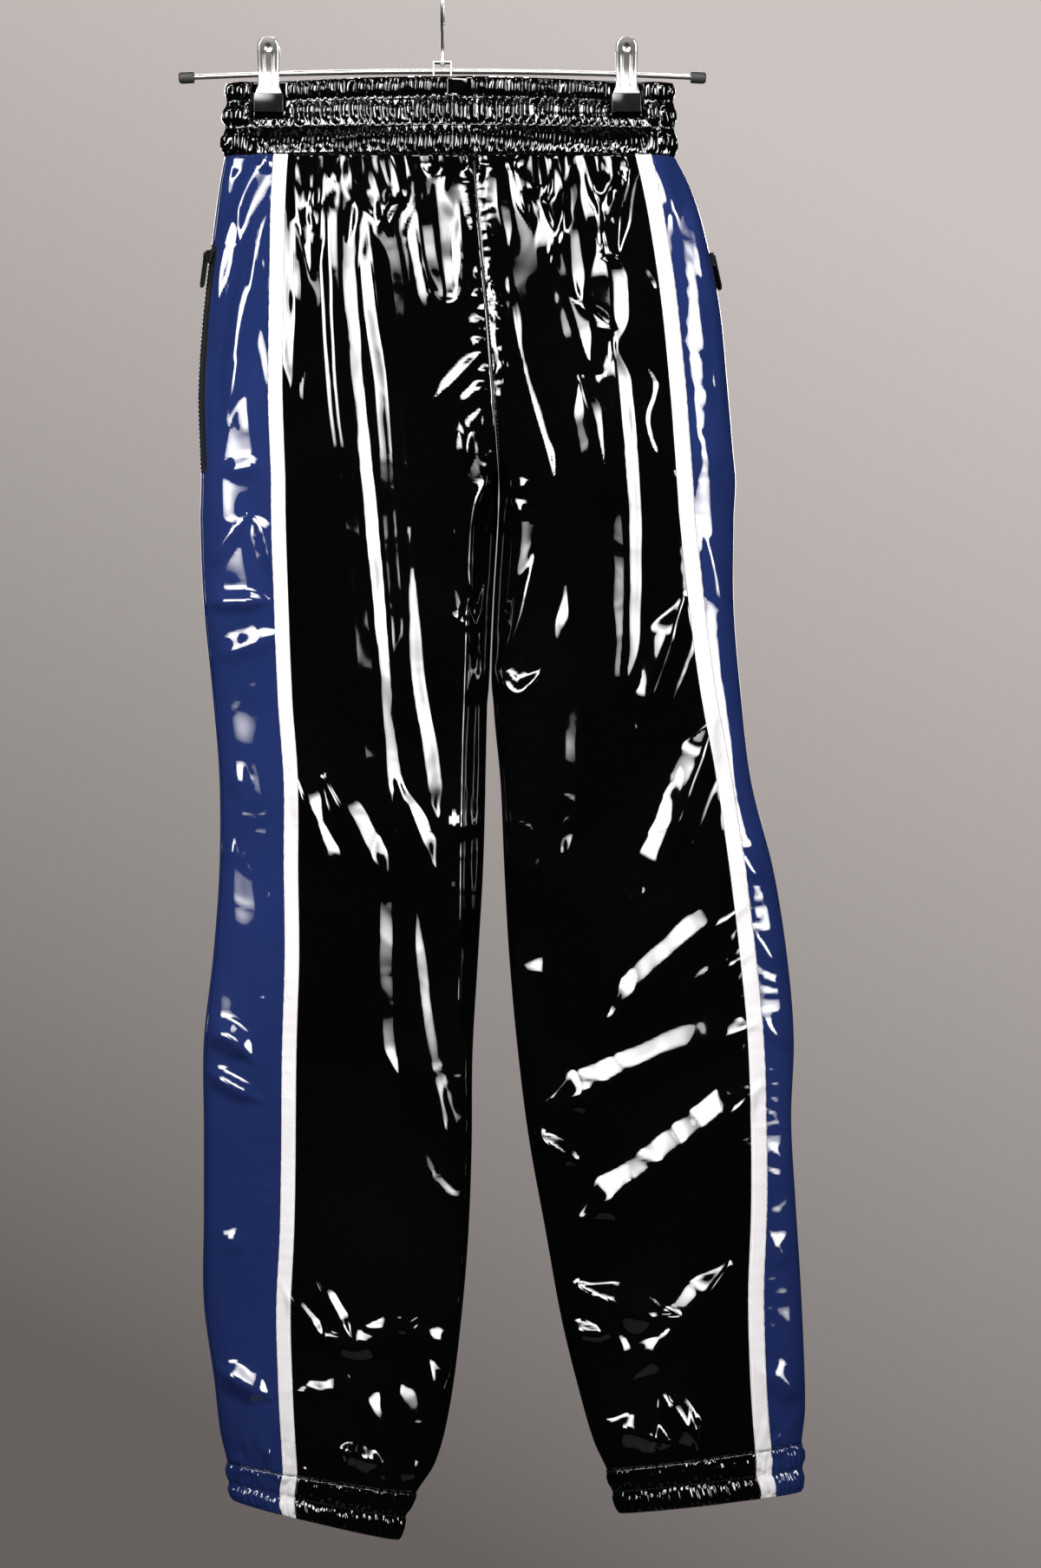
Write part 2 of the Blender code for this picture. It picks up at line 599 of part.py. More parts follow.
def box(builder, low, high):
    """Adds a box between two corners, in millimetres."""
    size = Vector(high) - Vector(low)
    middle = (Vector(high) + Vector(low)) / 2
    bmesh.ops.create_cube(builder, size=1, matrix=Matrix.Translation(middle) @ Matrix.Diagonal((*size, 1)))


def outline_solid(builder, outline, low, high, axis):
    """Adds a solid with this outline, pushed from low to high along an axis (0 is X, 1 is Y)."""
    def at(point, depth):
        return (depth, point[0], point[1]) if axis == 0 else (point[0], depth, point[1])
    front = [builder.verts.new(at(point, low)) for point in outline]
    back = [builder.verts.new(at(point, high)) for point in outline]
    builder.faces.new(front)
    builder.faces.new(list(reversed(back)))
    for i in range(len(outline)):
        k = (i + 1) % len(outline)
        builder.faces.new((front[i], back[i], back[k], front[k]))


def add_slider(side):
    """The zip's slider with the bridge that its pull hangs in."""
    width, thick, tall = SLIDER_SIZE
    place = zip_place(side)
    builder = bmesh.new()
    top = FIT + thick
    shoulder = width / 2
    waist = width * 0.36
    outline = ((-shoulder, tall / 2), (-shoulder, tall * 0.1), (-waist, -tall / 2), (waist, -tall / 2),
               (shoulder, tall * 0.1), (shoulder, tall / 2))
    outline_solid(builder, outline, FIT, top, 1)
    slider = add_object(f"slider_{side}", builder, "zip_black", place)
    bridge = bmesh.new()
    ceiling = top + BRIDGE_BORE
    roof = ceiling + BRIDGE_WALL
    arch = ((top - 0.4, 3.3), (roof, 2.4), (roof, -1.4), (top - 0.4, -2.3), (top - 0.4, -1.2),
            (ceiling, -0.6), (ceiling, 1.6), (top - 0.4, 2.1))
    outline_solid(bridge, arch, -BRIDGE_WIDTH / 2, BRIDGE_WIDTH / 2, 0)
    bridge_object = add_object(f"bridge_{side}", bridge, "zip_black", place)
    bridge_object.hide_render = True
    bridge_object.display_type = "WIRE"
    union = slider.modifiers.new("bridge", "BOOLEAN")
    union.operation = "UNION"
    union.object = bridge_object


def add_pull(side):
    """The pull tab, with its origin on the bar that turns in the slider's bridge."""
    width, thick, length = PULL_SIZE
    window_width, window_end = PULL_WINDOW
    place = zip_place(side) @ Matrix.Translation(Vector((0, PULL_AXIS_Y, PULL_AXIS_Z)) * MM)
    bar = thick / 2
    builder = bmesh.new()
    outer = [(-width / 2, bar), (-width / 2, -length + 3), (-width / 4, -length), (width / 4, -length),
             (width / 2, -length + 3), (width / 2, bar)]
    hole = [(-window_width / 2, -bar), (-window_width / 2, -window_end), (window_width / 2, -window_end),
            (window_width / 2, -bar)]
    rings = []
    for y in (-bar, bar):
        rings.append(([builder.verts.new((x, y, z)) for x, z in outer],
                      [builder.verts.new((x, y, z)) for x, z in hole]))
    for rim, window in rings:
        builder.faces.new((rim[0], rim[1], window[1], window[0]))
        builder.faces.new((rim[1], rim[2], rim[3], rim[4], window[2], window[1]))
        builder.faces.new((rim[4], rim[5], window[3], window[2]))
        builder.faces.new((rim[5], rim[0], window[0], window[3]))
    for loop_index in (0, 1):
        near, far = rings[0][loop_index], rings[1][loop_index]
        for i in range(len(near)):
            k = (i + 1) % len(near)
            builder.faces.new((near[i], far[i], far[k], near[k]))
    add_object(f"pull_{side}", builder, "zip_black", place)


def add_rod(name, path, radius, sides, finish_name):
    """A round rod along a path, closed at its ends."""
    builder = bmesh.new()
    rings = []
    for i, point in enumerate(path):
        along = (path[min(i + 1, len(path) - 1)] - path[max(i - 1, 0)]).normalized()
        helper = Vector((1, 0, 0)) if abs(along.x) < 0.5 else Vector((0, 1, 0))
        first = along.cross(helper).normalized()
        second = along.cross(first)
        rings.append([builder.verts.new(point + radius * (first * cos(2 * pi * k / sides)
                                                          + second * sin(2 * pi * k / sides)))
                      for k in range(sides)])
    for a, b in zip(rings, rings[1:]):
        for k in range(sides):
            j = (k + 1) % sides
            builder.faces.new((a[k], a[j], b[j], b[k]))
    builder.faces.new(rings[0])
    builder.faces.new(list(reversed(rings[-1])))
    return add_object(name, builder, finish_name)


def add_turned(name, profile, sides, finish_name, place):
    """A body turned about its local X axis; the profile is a closed line of (x, radius)."""
    builder = bmesh.new()
    rings = []
    for x, radius in profile:
        if radius == 0:
            rings.append([builder.verts.new((x, 0, 0))])
        else:
            rings.append([builder.verts.new((x, radius * cos(2 * pi * k / sides),
                                             radius * sin(2 * pi * k / sides))) for k in range(sides)])
    steps = len(rings) if profile[0][1] else len(rings) - 1
    for i in range(steps):
        a, b = rings[i], rings[(i + 1) % len(rings)]
        for k in range(sides):
            j = (k + 1) % sides
            if len(a) == 1:
                builder.faces.new((a[0], b[j], b[k]))
            elif len(b) == 1:
                builder.faces.new((a[k], a[j], b[0]))
            else:
                builder.faces.new((a[k], a[j], b[j], b[k]))
    return add_object(name, builder, finish_name, place)


def bar_z(x):
    """The bar is bowed: its height at a distance from the middle."""
    return BAR_MIDDLE_Z - BAR_DROOP * (x / (BAR_HALF_LENGTH + CAP_LENGTH / 2)) ** 2


def add_bar():
    """The bowed bar and the rubber caps on its ends."""
    steps = 14
    path = []
    for i in range(steps + 1):
        x = BAR_HALF_LENGTH * (2 * i / steps - 1)
        path.append(Vector((x, 0, bar_z(x))))
    add_rod("hanger_bar", path, BAR_RADIUS, 8, "chrome")
    bore = BAR_RADIUS + FIT
    depth = CAP_LENGTH - 3.5
    profile = ((-depth, bore), (-depth, CAP_RADIUS * 0.8), (-depth + 1.5, CAP_RADIUS),
               (CAP_LENGTH - depth - 2, CAP_RADIUS), (CAP_LENGTH - depth, CAP_RADIUS * 0.6),
               (CAP_LENGTH - depth, 0))
    profile = ((FIT, 0), (FIT, bore)) + profile
    for side, sign in (("left", -1), ("right", 1)):
        x = sign * BAR_HALF_LENGTH
        slope = bar_z(x) - bar_z(x - sign * 5)
        axis = Vector((5, 0, slope)).normalized()
        turned = Matrix((axis, Vector((0, 1, 0)), axis.cross(Vector((0, 1, 0))))).transposed().to_4x4()
        if sign < 0:
            turned = Matrix.Rotation(pi, 4, "Z") @ turned
        turned.translation = Vector((x, 0, bar_z(x))) * MM
        add_turned(f"bar_cap_{side}", profile, 10, "rubber_black", turned)


def add_hook():
    """The wire hook, from its riveted foot up over the rail, in the plane across the bar."""
    bend = HOOK_BEND_RADIUS + HOOK_WIRE_RADIUS
    centre = Vector((0, 0, -HOOK_BEND_RADIUS))
    path = [Vector((0, y, z)) for y, z in HOOK_STEM]
    steps = 14
    start = radians(228)
    for i in range(steps + 1):
        turn = start + (HOOK_TIP_ANGLE - start) * i / steps
        path.append(centre + bend * Vector((0, cos(turn), sin(turn))))
    add_rod("hook", path, HOOK_WIRE_RADIUS, 8, "chrome")


def add_cutter(name, radius, depth, location, rotation):
    """A round cutter that the model leaves out."""
    builder = bmesh.new()
    bmesh.ops.create_cone(builder, cap_ends=True, segments=12, radius1=radius, radius2=radius, depth=depth,
                          matrix=Matrix.Translation(location) @ rotation)
    cutter = add_object(name, builder, "chrome")
    cutter.hide_render = True
    cutter.display_type = "WIRE"
    return cutter


def cut(target, cutter):
    """Cuts a hole with a cutter."""
    modifier = target.modifiers.new(cutter.name, "BOOLEAN")
    modifier.operation = "DIFFERENCE"
    modifier.object = cutter


def add_bracket():
    """The folded strap that joins the hook to the bar, bored for both."""
    half = BRACKET_WIDTH / 2
    sheet = BRACKET_SHEET
    inside_z = BRACKET_TOP_Z - sheet
    outline = ((-half, BRACKET_BOTTOM_Z), (-half, BRACKET_TOP_Z), (half, BRACKET_TOP_Z),
               (half, BRACKET_BOTTOM_Z), (half - sheet, BRACKET_BOTTOM_Z), (half - sheet, inside_z),
               (-half + sheet, inside_z), (-half + sheet, BRACKET_BOTTOM_Z))
    builder = bmesh.new()
    outline_solid(builder, outline, -BRACKET_DEPTH / 2, BRACKET_DEPTH / 2, 1)
    bracket = add_object("hook_bracket", builder, "chrome")
    along_x = Matrix.Rotation(pi / 2, 4, "Y")
    cut(bracket, add_cutter("bar_bore", BAR_RADIUS + FIT, BRACKET_WIDTH + 4, (0, 0, bar_z(0)), along_x))
    cut(bracket, add_cutter("hook_bore", HOOK_WIRE_RADIUS + FIT, 4, (0, 0, BRACKET_TOP_Z), Matrix()))


def clip_skin(rows, side, offset):
    """A lever's surface: rows of points across it, moved off its middle line."""
    points = []
    for i, (y, z, half_width) in enumerate(rows):
        before, after = rows[max(i - 1, 0)], rows[min(i + 1, len(rows) - 1)]
        along = Vector((0, after[0] - before[0], after[1] - before[1])).normalized()
        normal = Vector((0, -along.z, along.y))
        row = [Vector((half_width * t, y, z)) + normal * offset for t in (-1, 0, 1)]
        points.append([Vector((p.x + CLIP_X[side], p.y, p.z)) for p in row])
    return points


def add_clip(side):
    """A spring clip on the bar: two levers, a vinyl sleeve on each jaw and the coil between them."""
    for face, sign in (("front", 1), ("back", -1)):
        rows = [(sign * y, z, half_width) for y, z, half_width in CLIP_ROWS]
        add_wall(f"clip_{face}_{side}", clip_skin(rows, side, CLIP_SHEET / 2),
                 clip_skin(rows, side, -CLIP_SHEET / 2), "chrome")
        jaw_y = CLIP_ROWS[-1][0]
        far = CLIP_SHEET / 2 + FIT + SLEEVE_SHEET
        near = CLIP_SHEET / 2 + FIT
        floor = CLIP_ROWS[-1][1] - FIT
        outline = [(jaw_y - far, SLEEVE_TOP_Z), (jaw_y - far, SLEEVE_BOTTOM_Z), (jaw_y + far, SLEEVE_BOTTOM_Z),
                   (jaw_y + far, SLEEVE_TOP_Z), (jaw_y + near, SLEEVE_TOP_Z), (jaw_y + near, floor),
                   (jaw_y - near, floor), (jaw_y - near, SLEEVE_TOP_Z)]
        builder = bmesh.new()
        outline_solid(builder, [(sign * y, z) for y, z in outline], CLIP_X[side] - SLEEVE_HALF_WIDTH,
                      CLIP_X[side] + SLEEVE_HALF_WIDTH, 0)
        add_object(f"sleeve_{face}_{side}", builder, "vinyl_sleeve")
    bore = BAR_RADIUS + FIT
    profile = ((-SPRING_HALF_LENGTH, bore), (-SPRING_HALF_LENGTH, SPRING_RADIUS),
               (SPRING_HALF_LENGTH, SPRING_RADIUS), (SPRING_HALF_LENGTH, bore))
    x = CLIP_X[side]
    add_turned(f"clip_spring_{side}", profile, 12, "chrome", Matrix.Translation(Vector((x, 0, bar_z(x))) * MM))


def clear_scene():
    for old in list(bpy.data.objects):
        bpy.data.objects.remove(old, do_unlink=True)


def main():
    clear_scene()
    add_waistband()
    for side in ("left", "right"):
        add_panel(side, "front", "pvc_black")
        add_panel(side, "back", "pvc_black")
        add_panel(side, "side_front", "pvc_blue")
        add_panel(side, "side_back", "pvc_blue")
        add_tape(side)
        for colour in CUFF_GATHERS:
            add_cuff(side, colour)
        add_zip(side)
        add_slider(side)
        add_pull(side)
    add_hook()
    add_bracket()
    add_bar()
    for side in ("left", "right"):
        add_clip(side)


main()
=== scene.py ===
from functools import cache
from math import cos, pi, radians, sin

import bmesh
import bpy
import numpy as np
from mathutils import Matrix, Vector


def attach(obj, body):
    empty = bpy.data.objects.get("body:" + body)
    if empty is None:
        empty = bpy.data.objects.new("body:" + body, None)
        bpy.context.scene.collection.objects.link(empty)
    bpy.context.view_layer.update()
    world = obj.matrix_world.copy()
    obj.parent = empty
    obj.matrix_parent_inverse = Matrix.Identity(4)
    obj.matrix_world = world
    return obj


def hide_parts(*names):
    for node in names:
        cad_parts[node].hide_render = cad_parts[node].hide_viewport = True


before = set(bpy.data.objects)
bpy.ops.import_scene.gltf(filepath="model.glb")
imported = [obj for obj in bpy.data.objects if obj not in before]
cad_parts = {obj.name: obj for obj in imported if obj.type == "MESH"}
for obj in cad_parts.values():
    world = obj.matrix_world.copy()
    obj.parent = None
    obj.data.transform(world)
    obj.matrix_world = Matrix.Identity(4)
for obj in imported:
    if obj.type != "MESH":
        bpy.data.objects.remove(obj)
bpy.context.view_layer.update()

# lengths are in millimetres until a mesh is made
mm = 0.001
sides = ("left", "right")

# one row for each height of a leg: edges, tape, depths and how wide the edges are rounded
legColumns = ("outerX", "outerZ", "innerX", "innerZ", "tapeX", "front", "back", "outerRound", "innerRound")
legTables = {
    "left": (
        (-160.6, -140.8, 23.0, -140.8, -117.8, 20.0, 20.0, 150, 30),
        (-164.5, -162.6, 24.3, -162.6, -119.0, 26.0, 27.0, 140, 30),
        (-168.3, -191.4, 26.9, -191.4, -119.7, 31.0, 33.0, 130, 30),
        (-175.4, -249.0, 32.0, -249.0, -120.3, 35.0, 38.0, 120, 30),
        (-179.8, -313.0, 37.1, -313.0, -121.0, 37.0, 41.0, 112, 32),
        (-178.6, -357.8, 40.3, -357.8, -119.7, 37.0, 41.0, 108, 36),
        (-177.9, -380.2, 41.6, -380.2, -119.0, 36.0, 40.0, 106, 40),
        (-178.6, -409.0, 40.3, -409.0, -119.0, 34.0, 38.0, 104, 48),
        (-176.0, -473.0, 36.5, -473.0, -117.1, 31.0, 34.0, 102, 66),
        (-169.6, -537.0, 33.9, -537.0, -114.6, 29.0, 31.0, 98, 84),
        (-164.5, -601.0, 32.0, -604.2, -110.1, 28.0, 29.0, 96, 96),
        (-164.5, -665.0, 30.1, -668.2, -110.1, 27.0, 28.0, 96, 98),
        (-169.0, -729.0, 26.2, -735.4, -109.4, 26.0, 26.0, 97, 98),
        (-176.0, -793.0, 22.4, -802.6, -111.4, 25.0, 25.0, 98, 99),
        (-176.0, -857.0, 21.8, -869.8, -112.0, 24.0, 24.0, 98, 99),
        (-176.0, -921.0, 19.2, -937.0, -113.0, 23.0, 23.0, 97, 97),
        (-176.0, -985.0, 13.4, -1004.2, -115.8, 22.5, 22.5, 94, 94),
        (-168.3, -1042.6, 5.1, -1065.0, -114.2, 22.0, 22.0, 86, 86),
        (-163.8, -1081.0, -5.1, -1103.4, -112.3, 20.0, 20.0, 78, 78),
        (-158.7, -1102.7, -19.2, -1125.8, -111.4, 16.0, 16.0, 68, 68),
        (-156.8, -1118.7, -28.2, -1145.0, -113.3, 15.0, 15.0, 62, 62),
        (-154.2, -1130.9, -32.6, -1160.3, -112.0, 15.0, 15.0, 59, 59),
    ),
    "right": (
        (171.5, -140.8, 23.0, -140.8, 147.2, 20.0, 20.0, 130, 30),
        (182.4, -162.6, 24.3, -162.6, 152.0, 26.0, 27.0, 130, 30),
        (192.0, -191.4, 26.9, -191.4, 157.4, 31.0, 33.0, 126, 30),
        (204.2, -249.0, 32.0, -249.0, 165.8, 35.0, 38.0, 120, 30),
        (210.6, -313.0, 37.1, -313.0, 172.2, 37.0, 41.0, 112, 32),
        (214.4, -357.8, 40.3, -357.8, 175.7, 37.0, 41.0, 106, 36),
        (216.3, -380.2, 41.6, -380.2, 177.3, 36.0, 40.0, 102, 40),
        (215.0, -409.0, 41.8, -409.0, 179.5, 34.0, 38.0, 98, 46),
        (215.0, -473.0, 38.2, -473.0, 186.6, 31.0, 34.0, 94, 62),
        (220.2, -537.0, 36.8, -537.0, 195.2, 29.0, 31.0, 92, 80),
        (227.8, -601.0, 42.6, -601.0, 207.0, 28.0, 29.0, 92, 90),
        (243.8, -665.0, 45.4, -665.0, 216.3, 27.0, 28.0, 98, 98),
        (254.1, -729.0, 49.0, -729.0, 224.0, 26.0, 26.0, 102, 102),
        (259.2, -789.8, 55.0, -796.2, 229.8, 25.0, 25.0, 101, 101),
        (257.3, -850.6, 63.4, -863.4, 232.0, 24.0, 24.0, 96, 96),
        (260.5, -911.4, 75.5, -930.6, 232.3, 23.0, 23.0, 92, 92),
        (264.3, -972.2, 87.7, -997.8, 230.1, 22.5, 22.5, 88, 88),
        (266.9, -1029.8, 101.1, -1052.2, 231.4, 22.0, 22.0, 82, 82),
        (267.5, -1065.0, 111.4, -1087.4, 233.6, 20.0, 20.0, 77, 77),
        (265.0, -1088.6, 121.0, -1108.5, 235.5, 16.0, 16.0, 71, 71),
        (265.0, -1105.9, 125.4, -1123.2, 236.2, 15.0, 15.0, 68, 68),
        (264.3, -1124.5, 130.6, -1140.5, 239.4, 15.0, 15.0, 65, 65),
    ),
}
cuffRow = -3
leg = {
    "roundness": 0.85, "wall": 0.9, "seamGap": 0.3, "waistSeam": -141.1, "crotch": -380.2, "crotchRise": 62.0,
    "sideSeamTurn": {"left": radians(12), "right": radians(-12)}, "tapeWidth": {"left": 10.4, "right": 11.6},
    "zipTop": -206.5, "zipBottom": -374.0, "zipHalfWidth": 3.8, "zipTaper": 3,
    # the legs press on each other below the crotch: how far, and from which height to which
    "touch": 0.6, "touchRange": (-545, -392, 14),
    # where the cloth eases into the crotch: a share of the inner edge's rounding, and counted in rises
    "easeShare": 0.25, "easeBelow": 0.45, "easeOver": 1.6,
    # the creases are full from this share of the leg's depth
    "fullCreases": 0.6,
}

fold = {
    # how far the slopes reach past the half width, and how the ends taper
    "spread": 1.65, "search": 1.8, "taper": 30.0, "taperShare": 0.35, "lowerEnd": 0.2, "upperEnd": 0.25,
    # how soft the crest and the foot are
    "crest": 0.14, "foot": 0.1, "footDepth": 0.012,
    # folds higher than this are made at least this steep and this long
    "small": 1.9, "flank": 0.32, "shortest": 12, "least": 34.0, "skew": 0.05, "openAbove": -150,
    # the back repeats every second fold of the front, moved, wider and lower
    "backShift": (9.0, 34.0), "backWidth": 1.1, "backHeight": 0.55,
}

# creases read off the photo's front: half width, height (a trough is negative), line of x, z
frontFolds = (
    # long folds of the leg at the left
    (7, 4.2, ((-76, -143), (-74, -225), (-68, -317), (-57, -422), (-51, -476), (-47, -534), (-42, -593),
              (-34, -642))),
    (4.5, 1.8, ((-84, -163), (-81, -236), (-77, -313), (-69, -383))),
    (6, 3.6, ((-54, -195), (-46, -262), (-38, -317), (-32, -422), (-24, -524), (-16, -573), (-10, -612),
              (-3, -632))),
    (8, -1.6, ((-63, -153), (-59, -236), (-52, -326), (-44, -422), (-37, -511))),
    (4.5, 2.4, ((-107, -144), (-108, -200), (-107, -262), (-108, -320))),
    (5, 2.8, ((-97, -143), (-95, -185), (-94, -233))),
    (5, 3.2, ((-66, -143), (-61, -167), (-50, -186))),
    (5, 2.6, ((-37, -144), (-29, -167), (-40, -190))),
    (6, 3.2, ((-15, -169), (-17, -189), (-10, -237), (-2, -275))),
    (8, -1.8, ((-4, -166), (1, -217), (3, -246))),
    (4, 2.4, ((-8, -246), (3, -253), (15, -243), (13, -179))),
    (5, 1.8, ((-103, -222), (-99, -262), (-97, -300), (-101, -334))),
    # round the crotch
    (4, 2.2, ((-8, -328), (13, -307), (31, -286))),
    (4, 2.0, ((10, -332), (22, -321), (35, -308))),
    (4, 1.8, ((13, -336), (19, -372))),
    (4, 2.2, ((35, -324), (20, -349), (17, -380))),
    (5, 3.6, ((40, -376), (23, -403), (20, -467), (12, -479))),
    (4, 2.4, ((7, -478), (15, -485), (23, -481))),
    (5, -2.4, ((32, -393), (29, -435), (27, -473))),
    (3.5, 2.0, ((42, -381), (52, -387), (65, -383))),
    (3.5, 2.0, ((43, -385), (51, -399), (65, -408))),
    (3.5, 1.8, ((42, -387), (45, -409), (51, -423))),
    (6, 3.0, ((64, -448), (54, -491), (38, -513))),
    (5, 2.6, ((45, -516), (55, -537), (64, -518))),
    (4.5, 2.4, ((18, -480), (16, -540), (14, -620), (13, -700), (12, -780))),
    # knee at the left
    (7.5, 6.6, ((-106, -600), (-96, -625), (-81, -668))),
    (8, 6.2, ((-80, -608), (-64, -636), (-45, -672))),
    (6, 4.2, ((-28, -612), (-20, -633), (-10, -655))),
    (5, 2.6, ((-1, -634), (16, -634), (31, -630))),
    (8, -2.0, ((-102, -676), (-70, -682), (-37, -677))),
    (7, -3.4, ((-32, -659), (-34, -742), (-29, -823))),
    (4.5, 3.7, ((-28, -669), (-21, -724), (-15, -776), (-8, -813), (8, -878))),
    (5, -1.2, ((-34, -825), (-13, -863), (8, -900), (18, -894))),
    (9, 1.8, ((-82, -753), (-70, -780), (-58, -813))),
    (5, 1.8, ((-104, -924), (-92, -920), (-83, -927))),
    # shin and ankle at the left
    (4.5, 3.2, ((-110, -980), (-103, -990), (-92, -1003))),
    (5, 3.5, ((-88, -972), (-80, -988), (-72, -1000))),
    (7, 5.0, ((-84, -1006), (-70, -1013), (-58, -1014), (-40, -1003))),
    (5, 3.4, ((-46, -999), (-36, -1000), (-24, -995))),
    (5, 3.2, ((-23, -1004), (-12, -1009), (2, -1013))),
    (5, 3.4, ((-100, -1047), (-88, -1049), (-76, -1045))),
    (8, 3.0, ((-62, -1049), (-50, -1066), (-42, -1086))),
    (8, 3.0, ((-36, -1045), (-26, -1064), (-16, -1086))),
    (7, 2.4, ((-8, -1036), (-1, -1068))),
    (5, 2.4, ((-69, -1092), (-51, -1099))),
    (5, 2.4, ((-45, -1107), (-10, -1109))),
    (8, -2.2, ((-109, -1020), (-58, -1028), (-6, -1025))),
    # long folds of the leg at the right
    (7, 3.8, ((34, -229), (43, -262), (47, -299), (67, -364), (85, -393))),
    (4.5, 2.4, ((49, -236), (55, -281), (65, -323), (83, -383))),
    (5, 3.0, ((59, -145), (63, -163), (69, -177))),
    (5, 3.0, ((81, -145), (79, -163), (72, -179))),
    (6, 3.6, ((74, -182), (87, -237), (104, -290), (111, -299))),
    (5, 2.8, ((87, -174), (98, -244), (108, -252))),
    (5, 3.2, ((104, -143), (111, -172), (119, -212))),
    (5, 3.0, ((116, -150), (123, -185), (129, -216))),
    (7, 3.2, ((116, -205), (123, -240), (124, -292))),
    (2.5, -1.4, ((114, -218), (133, -216))),
    (3.5, -1.8, ((93, -247), (111, -260), (129, -273))),
    (3.5, -1.4, ((100, -307), (118, -303))),
    (7, 3.8, ((101, -308), (115, -364), (121, -417))),
    (6, 3.8, ((125, -281), (131, -354), (135, -422), (134, -495), (132, -554))),
    (6, -1.5, ((86, -397), (83, -446), (81, -505))),
    (7, 4.0, ((92, -469), (102, -534), (100, -622), (91, -649))),
    (7, 1.8, ((86, -657), (101, -650), (112, -656))),
    (9, 3.6, ((173, -479), (161, -515), (147, -554))),
    # knee at the right
    (9, 7.7, ((196, -566), (182, -604), (168, -640), (153, -674))),
    (7, -2.4, ((116, -650), (125, -678), (134, -700), (154, -688))),
    (9.5, 6.8, ((132, -768), (150, -748), (170, -730), (190, -712), (214, -700))),
    (7, 3.2, ((176, -758), (191, -745), (218, -733))),
    (7, 1.8, ((54, -739), (83, -745), (114, -760))),
    (5, 1.5, ((126, -760), (115, -737))),
    (10.3, 7.0, ((88, -836), (108, -828), (129, -819), (175, -799), (220, -783))),
    (7, 1.8, ((72, -861), (83, -847), (101, -837), (122, -847), (142, -860))),
    (5, 2.4, ((72, -863), (83, -871), (97, -878))),
    (11, 8.0, ((112, -916), (140, -897), (168, -876), (196, -854), (225, -832))),
    (8, -1.8, ((115, -946), (160, -925), (218, -890))),
    # shin and ankle at the right
    (9, 6.4, ((112, -974), (128, -985), (146, -992), (162, -990))),
    (4, 2.8, ((100, -975), (108, -984), (116, -996))),
    (4.5, 3.0, ((98, -1003), (108, -1006), (118, -1004))),
    (4.5, 3.2, ((119, -996), (127, -1008), (133, -1026))),
    (9, 2.6, ((202, -964), (173, -1001), (144, -1032))),
    (7, 2.4, ((166, -1054), (184, -1082))),
    (8, -2.2, ((109, -1023), (147, -1049), (218, -1043))),
    (7, 2.2, ((131, -1075), (160, -1084))),
    # blue side at the left
    (5, 2.6, ((-131, -145), (-147, -175), (-162, -207), (-165, -248))),
    (6, 3.0, ((-125, -169), (-141, -243), (-158, -338))),
    (4, 1.8, ((-146, -217), (-152, -275), (-159, -307))),
    (5, 2.6, ((-156, -374), (-134, -371))),
    (5, 3.0, ((-175, -448), (-159, -425), (-141, -407))),
    (5, 2.6, ((-141, -407), (-131, -417), (-123, -454))),
    (5, 2.4, ((-169, -470), (-134, -470))),
    (6, 2.6, ((-161, -508), (-141, -502), (-122, -495))),
    (7, 1.8, ((-159, -601), (-140, -602))),
    (6, 1.7, ((-163, -653), (-150, -655))),
    (7, 2.6, ((-174, -793), (-159, -788), (-147, -803))),
    (5, 2.2, ((-168, -817), (-154, -825), (-141, -831))),
    (7, 1.8, ((-161, -934), (-144, -947))),
    (7, 2.2, ((-159, -1036), (-134, -1049))),
    # blue side at the right
    (5, 2.8, ((186, -163), (192, -211), (203, -244), (207, -294), (205, -336))),
    (7, 1.6, ((182, -362), (212, -364))),
    (6, 2.2, ((197, -435), (209, -473))),
    (5, 2.2, ((218, -655), (232, -671))),
    (5, 2.4, ((229, -713), (246, -735))),
    (6, 2.4, ((236, -777), (253, -793))),
    (7, 1.8, ((240, -934), (253, -959))),
    (7, 2.2, ((240, -1036), (259, -1049))),
    # the pocket bag under the black cloth
    (2.2, 1.0, ((144, -224), (157, -244))),
    (2.2, 1.0, ((141, -290), (154, -312), (148, -336), (155, -362), (171, -378))),
)

# the back's long folds and the creases behind the knees
backFolds = (
    (10, 4.0, ((-92, -165), (-88, -330), (-60, -560))),
    (10, -3.5, ((-66, -165), (-62, -330), (-36, -520))),
    (10, 4.5, ((-36, -165), (-30, -320), (2, -470))),
    (10, 4.5, ((70, -165), (82, -300), (70, -470))),
    (10, -3.5, ((98, -165), (110, -330), (112, -520))),
    (10, 4.0, ((128, -165), (140, -330), (146, -560))),
    (14, 4.5, ((-150, -640), (-60, -668), (20, -640))),
    (14, 4.0, ((-160, -715), (-70, -735))),
    (14, 4.5, ((65, -660), (140, -690), (225, -650))),
    (14, 4.0, ((90, -770), (170, -750), (240, -790))),
    (14, 4.0, ((-120, -900), (-20, -930))),
    (14, 4.0, ((120, -925), (220, -890))),
)


def smoothStep(value):
    value = np.clip(value, 0.0, 1.0)
    return value * value * (3.0 - 2.0 * value)


